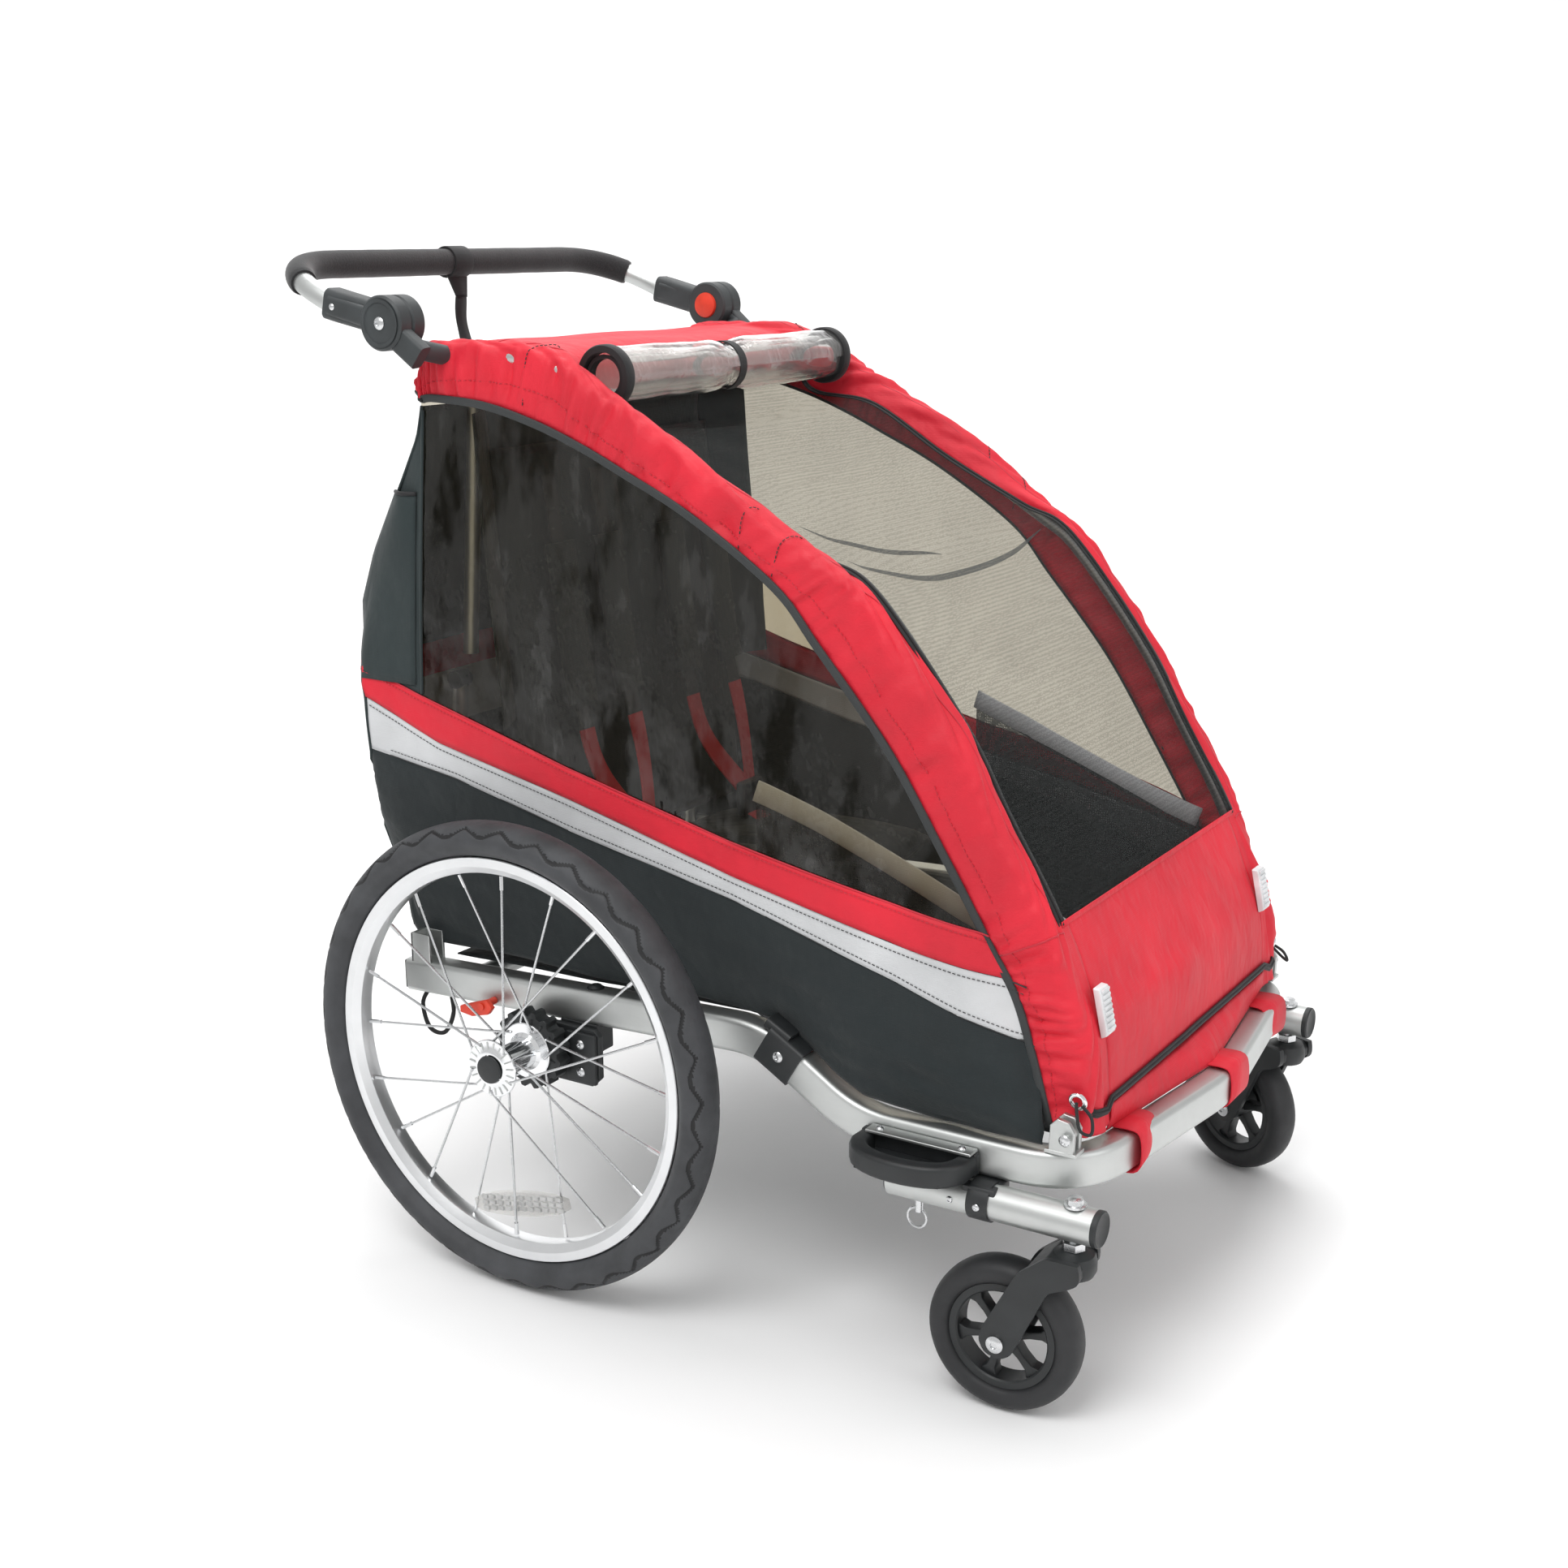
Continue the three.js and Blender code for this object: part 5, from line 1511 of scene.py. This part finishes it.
for layer, grow in enumerate((1.0, 0.86, 0.70)):
    def roll_layer(u, v):
        at = roll_surface(u, v)
        lift = (at - ROLL) * grow
        return ROLL + Vector((lift.x, at.y - ROLL.y, lift.z))

    shape = grid(roll_layer, even(80), even(48))
    roll = piece(f"rain_cover_roll_{layer + 1}", mesh_from(*shape), "clear", "cage",
                 None if layer else "rain_cover")
    cut_from(roll, (0.42, 0.17 * grow))
for side, name in SIDES:
    band = [(0.0300, 0), (0.0312, 0.002), (0.0312, 0.011), (0.0300, 0.013), (0.0238, 0.013), (0.0228, 0.006),
            (0.0238, 0)]
    hem = lathe([(r, side * (0.201 + y)) for r, y in band], ROLL, (0, 1, 0), 48)
    inner = [(0.0205, 0.002), (0.0215, 0.010), (0.0180, 0.010), (0.0170, 0.002)]
    hem_inner = lathe([(r, side * (0.200 + y)) for r, y in inner], ROLL, (0, 1, 0), 40)
    solid_piece(f"rain_cover_hem_{name}", [hem, hem_inner], "trim", "cage", None, 50)
belt = [(0.0255, -0.006), (0.0255, 0.006), (0.0240, 0.006), (0.0240, -0.006)]
solid_piece("rain_cover_strap", [lathe(belt, ROLL, (0, 1, 0), 48)], "trim", "cage", None, 50)


# ---- Seats and harness ----

def cushion(name, size, centre, tilt, node, crown=0.012, cells=(36, 30), tufts=()):
    """A padded panel: a box with rounded, swollen faces and pulled-in seams; size is depth, width, height."""
    depth, width, height = size
    us, vs = even(cells[0], -1, 1), even(cells[1], -1, 1)
    turn = Matrix.Rotation(tilt, 4, "Y")
    vertices, faces = [], []
    for face_side in (1, -1):
        base = len(vertices)
        for u in us:
            for v in vs:
                edge = max(0.0, (1 - abs(u) ** 6) * (1 - abs(v) ** 6)) ** 0.45
                swell = crown * (1 - u * u) ** 0.5 * (1 - v * v) ** 0.5 if abs(u) < 1 and abs(v) < 1 else 0
                pull = sum(deep * math.exp(-((u - at) / 0.022) ** 2) for at, deep in tufts)
                soft = 0.0016 * ripple((u * 2.2, v * 2.2, face_side), 1.0, 4.0) * edge
                x = face_side * (depth / 2 * edge + swell - pull * edge + soft)
                p = Vector((x, u * width / 2, v * height / 2))
                vertices.append(Vector(centre) + (turn @ p))
        for quad in grid_faces(len(us) - 1, len(vs) - 1):
            face = tuple(base + k for k in quad)
            faces.append(face if face_side < 0 else face[::-1])
    data = mesh_from(vertices, faces)
    bm = bmesh.new()
    bm.from_mesh(data)
    bmesh.ops.remove_doubles(bm, verts=bm.verts, dist=0.0004)
    bmesh.ops.recalc_face_normals(bm, faces=bm.faces)
    bm.to_mesh(data)
    bm.free()
    obj = piece(name, data, "black", None, node)
    return obj


# Seams pulled into each cushion: place across it, and depth.
TUFTS = ((-0.36, 0.004), (0.36, 0.004), (0.0, 0.009))
SEAT_MIDDLE = 0.098
seat = cushion("seat_cushion", (0.040, 0.394, 0.276), (-0.097, 0, 0.366), math.radians(90 - 2.2), "seat_base",
               tufts=TUFTS)
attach(seat, "chassis")
backrest = cushion("back_cushion", (0.020, 0.398, 0.452), (-0.251, 0, 0.616), math.radians(-4.3), "seat_back",
                   crown=0.008, tufts=TUFTS)


def flattening(obj):
    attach(obj, "chassis")
    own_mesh(obj)
    return obj


flattening(backrest)
for side, name in SIDES:
    middle = side * SEAT_MIDDLE
    for k, shoulder in enumerate((-0.040, 0.040)):
        y = middle + shoulder
        belt_line = resample([Vector(p) for p in (
            (-0.243, y, 0.812), (-0.226, y, 0.700), (-0.212, y, 0.600),
            (-0.188, y * 0.985 + middle * 0.015, 0.500), (-0.150, middle, 0.418))], 30)
        pad_line = [p + Vector((0.002, 0, 0)) for p in belt_line[5:18]]
        for key, run, section, paint, angle in (
                ("strap", belt_line, box_section(0.022, 0.0016, 0.0006, 1), "trim", 35),
                ("webbing", belt_line[19:], box_section(0.024, 0.0024, 0.0006, 1), "red_webbing", 35),
                ("pad", pad_line, box_section(0.044, 0.009, 0.004, 3), "black", 60)):
            band = tube(run, section, up=(1, 0, 0))
            flattening(solid_piece(f"harness_{key}_{name}_{k + 1}", [band], paint, None, None, angle))
    buckle = block(-0.158, -0.146, middle - 0.021, middle + 0.021, 0.398, 0.438, 0.004)
    flattening(solid_piece(f"harness_buckle_{name}", [buckle], "plastic", None))
    crotch_line = resample([Vector((x, middle, z)) for x, z in (
        (-0.152, 0.402), (-0.120, 0.392), (-0.060, 0.397), (-0.020, 0.396))], 16)
    crotch = tube(crotch_line, box_section(0.026, 0.0016, 0.0006, 1))
    solid_piece(f"crotch_strap_{name}", [crotch], "red_webbing", "chassis")

# Black cloth from each side of the backrest to the cabin wall.
for side, name in SIDES:
    wing = [mm(-252 + 30 * t + 3 * ripple((t * 2, k / 8, side), 1.0, 4.0) - 24 * (k / 20), side * (192 + 56 * t),
               560 + 322 * k / 20) for k in range(21) for t in even(6)]
    wall(f"seat_wing_{name}", (wing, grid_faces(20, 6)), "black", (0.07, 0.33))


def lining_point(u, v):
    """The black lining behind the backrest, from the seat up to the roof."""
    return mm(-266 - 10 * u + 4 * ripple((u * 3, v * 5, 0), 1.0, 9.0), -194 + 388 * v, 400 + 482 * u)


wall("seat_lining", grid(lining_point, even(30), even(24)), "black", (0.39, 0.49))

# Inside pocket on each wall: dark netting under a grey binding.
POCKET_TOP = knots(((70, 538), (144, 513), (292, 454), (366, 428)))
for side, name in SIDES:
    rows = []
    for i in range(41):
        x = 78 + (352 - 78) * i / 40
        high, low = POCKET_TOP(x), 300 if x > 150 else 330
        for t in even(14):
            z = low + (high - low) * t
            bag = 20 * math.sin(math.pi * i / 40) ** 0.7 * math.sin(math.pi * (0.12 + 0.75 * t)) ** 0.8
            rows.append(mm(x, side * (236 - bag), z))
    net_pocket = piece(f"inside_pocket_{name}", mesh_from(rows, grid_faces(40, 14)), "dense_net")
    cut_from(net_pocket, (0.30, 0.20))
    folding(net_pocket)
    binding = box_section(0.003, 0.022, 0.001, 1)
    folding(cord(f"inside_binding_{name}", rows[14::15], binding, "grey", up=(0, 0, 1)))


# ---- Trim of the hood and front panel ----

def front_at(y, z):
    """A point just outside the front panel."""
    u = solve(lambda t: z * MM - spline(EDGE, t).z, U_SEAM, 1.0)
    at = spline(EDGE, u)
    return Vector((at.x, y * MM, at.z)) + FRONT_OUT * 0.0045


for side, name in SIDES:
    bar_outline = [(0, -24), (6.5, -22), (7.5, -18), (7.5, 18), (6.5, 22), (0, 24)]
    bar = slab(flat_mm(bar_outline), -0.0100, 0.0100, "xz", 0.0015)
    face = front_at(side * 209, 370)
    ribs = [block(0.0070, 0.0088, -0.0080, 0.0080, -0.0185 + 0.0052 * k, -0.0157 + 0.0052 * k, 0.0006)
            for k in range(8)]
    lean = Matrix.Translation(face) @ Matrix.Rotation(math.radians(-12), 4, "Y")
    solid_piece(f"front_reflector_{name}", [moved(lean, shape) for shape in (bar, *ribs)], "reflector", "cage")

zip_line = [front_point(0.90, v) + mm(3.2, 0, 1) for v in even(79)]
zip_line = [mm(436, -247, 287), mm(443, -236, 283), mm(445.5, -220, 281), *zip_line,
            mm(445.5, 220, 281), mm(443, 236, 283), mm(436, 247, 287)]
cord("front_zip", zip_line, box_section(0.008, 0.0022, 0.0008, 2), "trim", "chassis", up=(1, 0, 0))
teeth_line = [p + Vector((0.0016, 0, 0)) for p in zip_line]
cord("front_zip_teeth", teeth_line, round_section(0.0014, 6), "trim", "chassis", up=(1, 0, 0))


def apron_point(u, v):
    """The flap below the front zip, running down onto the top of the rail's nose."""
    top = front_point(0.92, v) + mm(2.5, 0, 0)
    foot = mm(466 - 0.135 * abs(top.y / MM), top.y / MM, 253.5)
    loose = math.sin(math.pi * u) * (3 + 3 * ripple((v * 12, u * 2, 0), 1.0, 2.0)) * MM
    return top.lerp(foot, u) + Vector((loose, 0, loose * 0.5))


apron = sheet_piece("front_apron", grid(apron_point, even(8), even(80)), "red", "chassis")
cut_from(apron, (0.42, 0.035))
label = block(-0.0003, 0.0003, -0.030, 0.030, -0.0095, 0.0095, 0.0002)
label_place = Matrix.Translation(mm(476.7, -90, 235)) @ Matrix.Rotation(math.radians(-7.7), 4, "Z")
solid_piece("nose_label", [moved(label_place, label)], "label", "chassis")

# Stitched seams across each side band of the hood, as (x in millimetres, v) points.
HOOD_SEAMS = {
    "dart": ((-177, 0.04), (-174, 0.25), (-169, 0.5), (-160, 0.66), (-150, 0.78), (-136, 0.90), (-124, 0.99)),
    "upper_cross": ((72, 0.03), (77, 0.25), (85, 0.57), (97, 0.99)),
    "lower_cross": ((108, 0.03), (117, 0.25), (130, 0.57), (142, 0.99)),
}


def seam_point(x, v, side):
    """The hood's outer face where it reaches x (millimetres) at v."""
    u = solve(lambda t: hood_point(t, v).x - x * MM, 0.08, 0.95)
    return hood_side(u, v, side) + Vector((0.0004, side * 0.0010, 0.0012))


for side, name in SIDES:
    crown = [hood_side(u, 0.72, side) + Vector((0, side * 0.0004, 0.0004)) for u in even(140, 0.10, U_SEAM)]
    cord(f"crown_seam_{name}", crown, round_section(0.0009, 6), "red_thread", "cage")
    row = [hood_side(u, 0.10, side) + Vector((0, side * 0.0006, 0)) for u in even(120, 0.06, 0.99)]
    dashes = stitches(row, [Vector((0, side, 0))] * len(row), 0.0052)
    piece(f"hem_stitches_{name}", mesh_from(*dashes), "red_thread", "cage")
    for key, line in HOOD_SEAMS.items():
        curve = resample([seam_point(x, v, side) for x, v in line], 40)
        normals = [Vector((0.2, side * 0.8, 0.6)).normalized()] * len(curve)
        dashes = stitches(curve, normals, 0.0042, 0.0030, 0.0005)
        piece(f"{key}_seam_{name}", mesh_from(*dashes), "thread", "cage")
    cross = [hood_side(U_SEAM + 0.006, v, side) + Vector((0.0006, side * 0.0006, 0.0004))
             for v in even(24, 0.02, 0.98)]
    cord(f"corner_seam_{name}", cross, round_section(0.0009, 6), "red_thread", "cage")


# ---- Floor, light and camera ----

def floor_material():
    material, tree, shader = new_material("studio_floor", (0.96, 0.96, 0.96), 0.7)
    shade = ramp(tree, noise_of(tree, 1.5, 2), [(0.3, (0.95, 0.95, 0.95)), (0.7, (0.97, 0.97, 0.97))])
    tree.links.new(shade, shader.inputs["Base Color"])
    return material


def backdrop(u, v):
    """A floor that curves up into a wall far behind."""
    reach = 9.0 * u
    turn = Matrix.Rotation(math.radians(32), 4, "Z")
    y = -5.0 + min(reach, 8.0) + 3.0 * math.sin(min(max(reach - 8.0, 0.0), 1.0) * math.pi / 2)
    z = 0.0 if reach < 8.0 else 6.0 * (1 - math.cos((reach - 8.0) * math.pi / 2))
    return turn @ Vector((-9 + 18 * v, y, z - 0.0005))


floor = linked("studio_floor", mesh_from(*grid(backdrop, even(60), even(4))))
floor.data.shade_smooth()
floor.data.materials.append(floor_material())
floor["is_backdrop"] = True

world = bpy.data.worlds.new("studio")
bpy.context.scene.world = world
world.use_nodes = True
world.node_tree.nodes["Background"].inputs["Color"].default_value = (1, 1, 1, 1)
world.node_tree.nodes["Background"].inputs["Strength"].default_value = 0.68


def soft_light(name, place, target, size, power):
    data = bpy.data.lights.new(name, "AREA")
    data.shape = "RECTANGLE"
    data.size, data.size_y = size
    data.energy = power
    obj = linked(name, data)
    obj.location = place
    obj.rotation_euler = (Vector(target) - Vector(place)).to_track_quat("-Z", "Y").to_euler()
    obj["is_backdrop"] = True
    return obj


soft_light("key", (0.2, -2.2, 3.4), (0, 0, 0.45), (2.0, 1.6), 62)
soft_light("side", (3.0, -0.4, 1.7), (0, 0, 0.45), (1.8, 1.8), 14)
soft_light("top", (-0.6, 0.8, 3.4), (0, 0, 0.5), (2.2, 2.2), 46)
soft_light("wall", (-2.2, 3.2, 4.5), (-4.2, 6.6, 1.2), (4.0, 3.0), 90)

AZIMUTH, ELEVATION, ROLL_ANGLE = math.radians(32.006), math.radians(14.945), math.radians(-0.353)
CAMERA_AT = (1.11596, -1.84421, 1.05271)
back_axis = Vector((math.sin(AZIMUTH) * math.cos(ELEVATION), -math.cos(AZIMUTH) * math.cos(ELEVATION),
                    math.sin(ELEVATION)))
right_axis = Vector((math.cos(AZIMUTH), math.sin(AZIMUTH), 0))
up_axis = back_axis.cross(right_axis)
across_axis = math.cos(ROLL_ANGLE) * right_axis + math.sin(ROLL_ANGLE) * up_axis
over_axis = -math.sin(ROLL_ANGLE) * right_axis + math.cos(ROLL_ANGLE) * up_axis
camera_data = bpy.data.cameras.new("camera")
camera_data.lens = 47.27
camera_data.sensor_width = 36
camera = linked("camera", camera_data)
camera.matrix_world = Matrix((
    (across_axis.x, over_axis.x, back_axis.x, CAMERA_AT[0]),
    (across_axis.y, over_axis.y, back_axis.y, CAMERA_AT[1]),
    (across_axis.z, over_axis.z, back_axis.z, CAMERA_AT[2]),
    (0, 0, 0, 1),
))
bpy.context.scene.camera = camera
bpy.context.scene.view_settings.view_transform = "Standard"


low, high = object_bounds()
({"cad": [list(map(float, cad_low)), list(map(float, cad_high))],
           "visual": [list(map(float, low)), list(map(float, high))]})
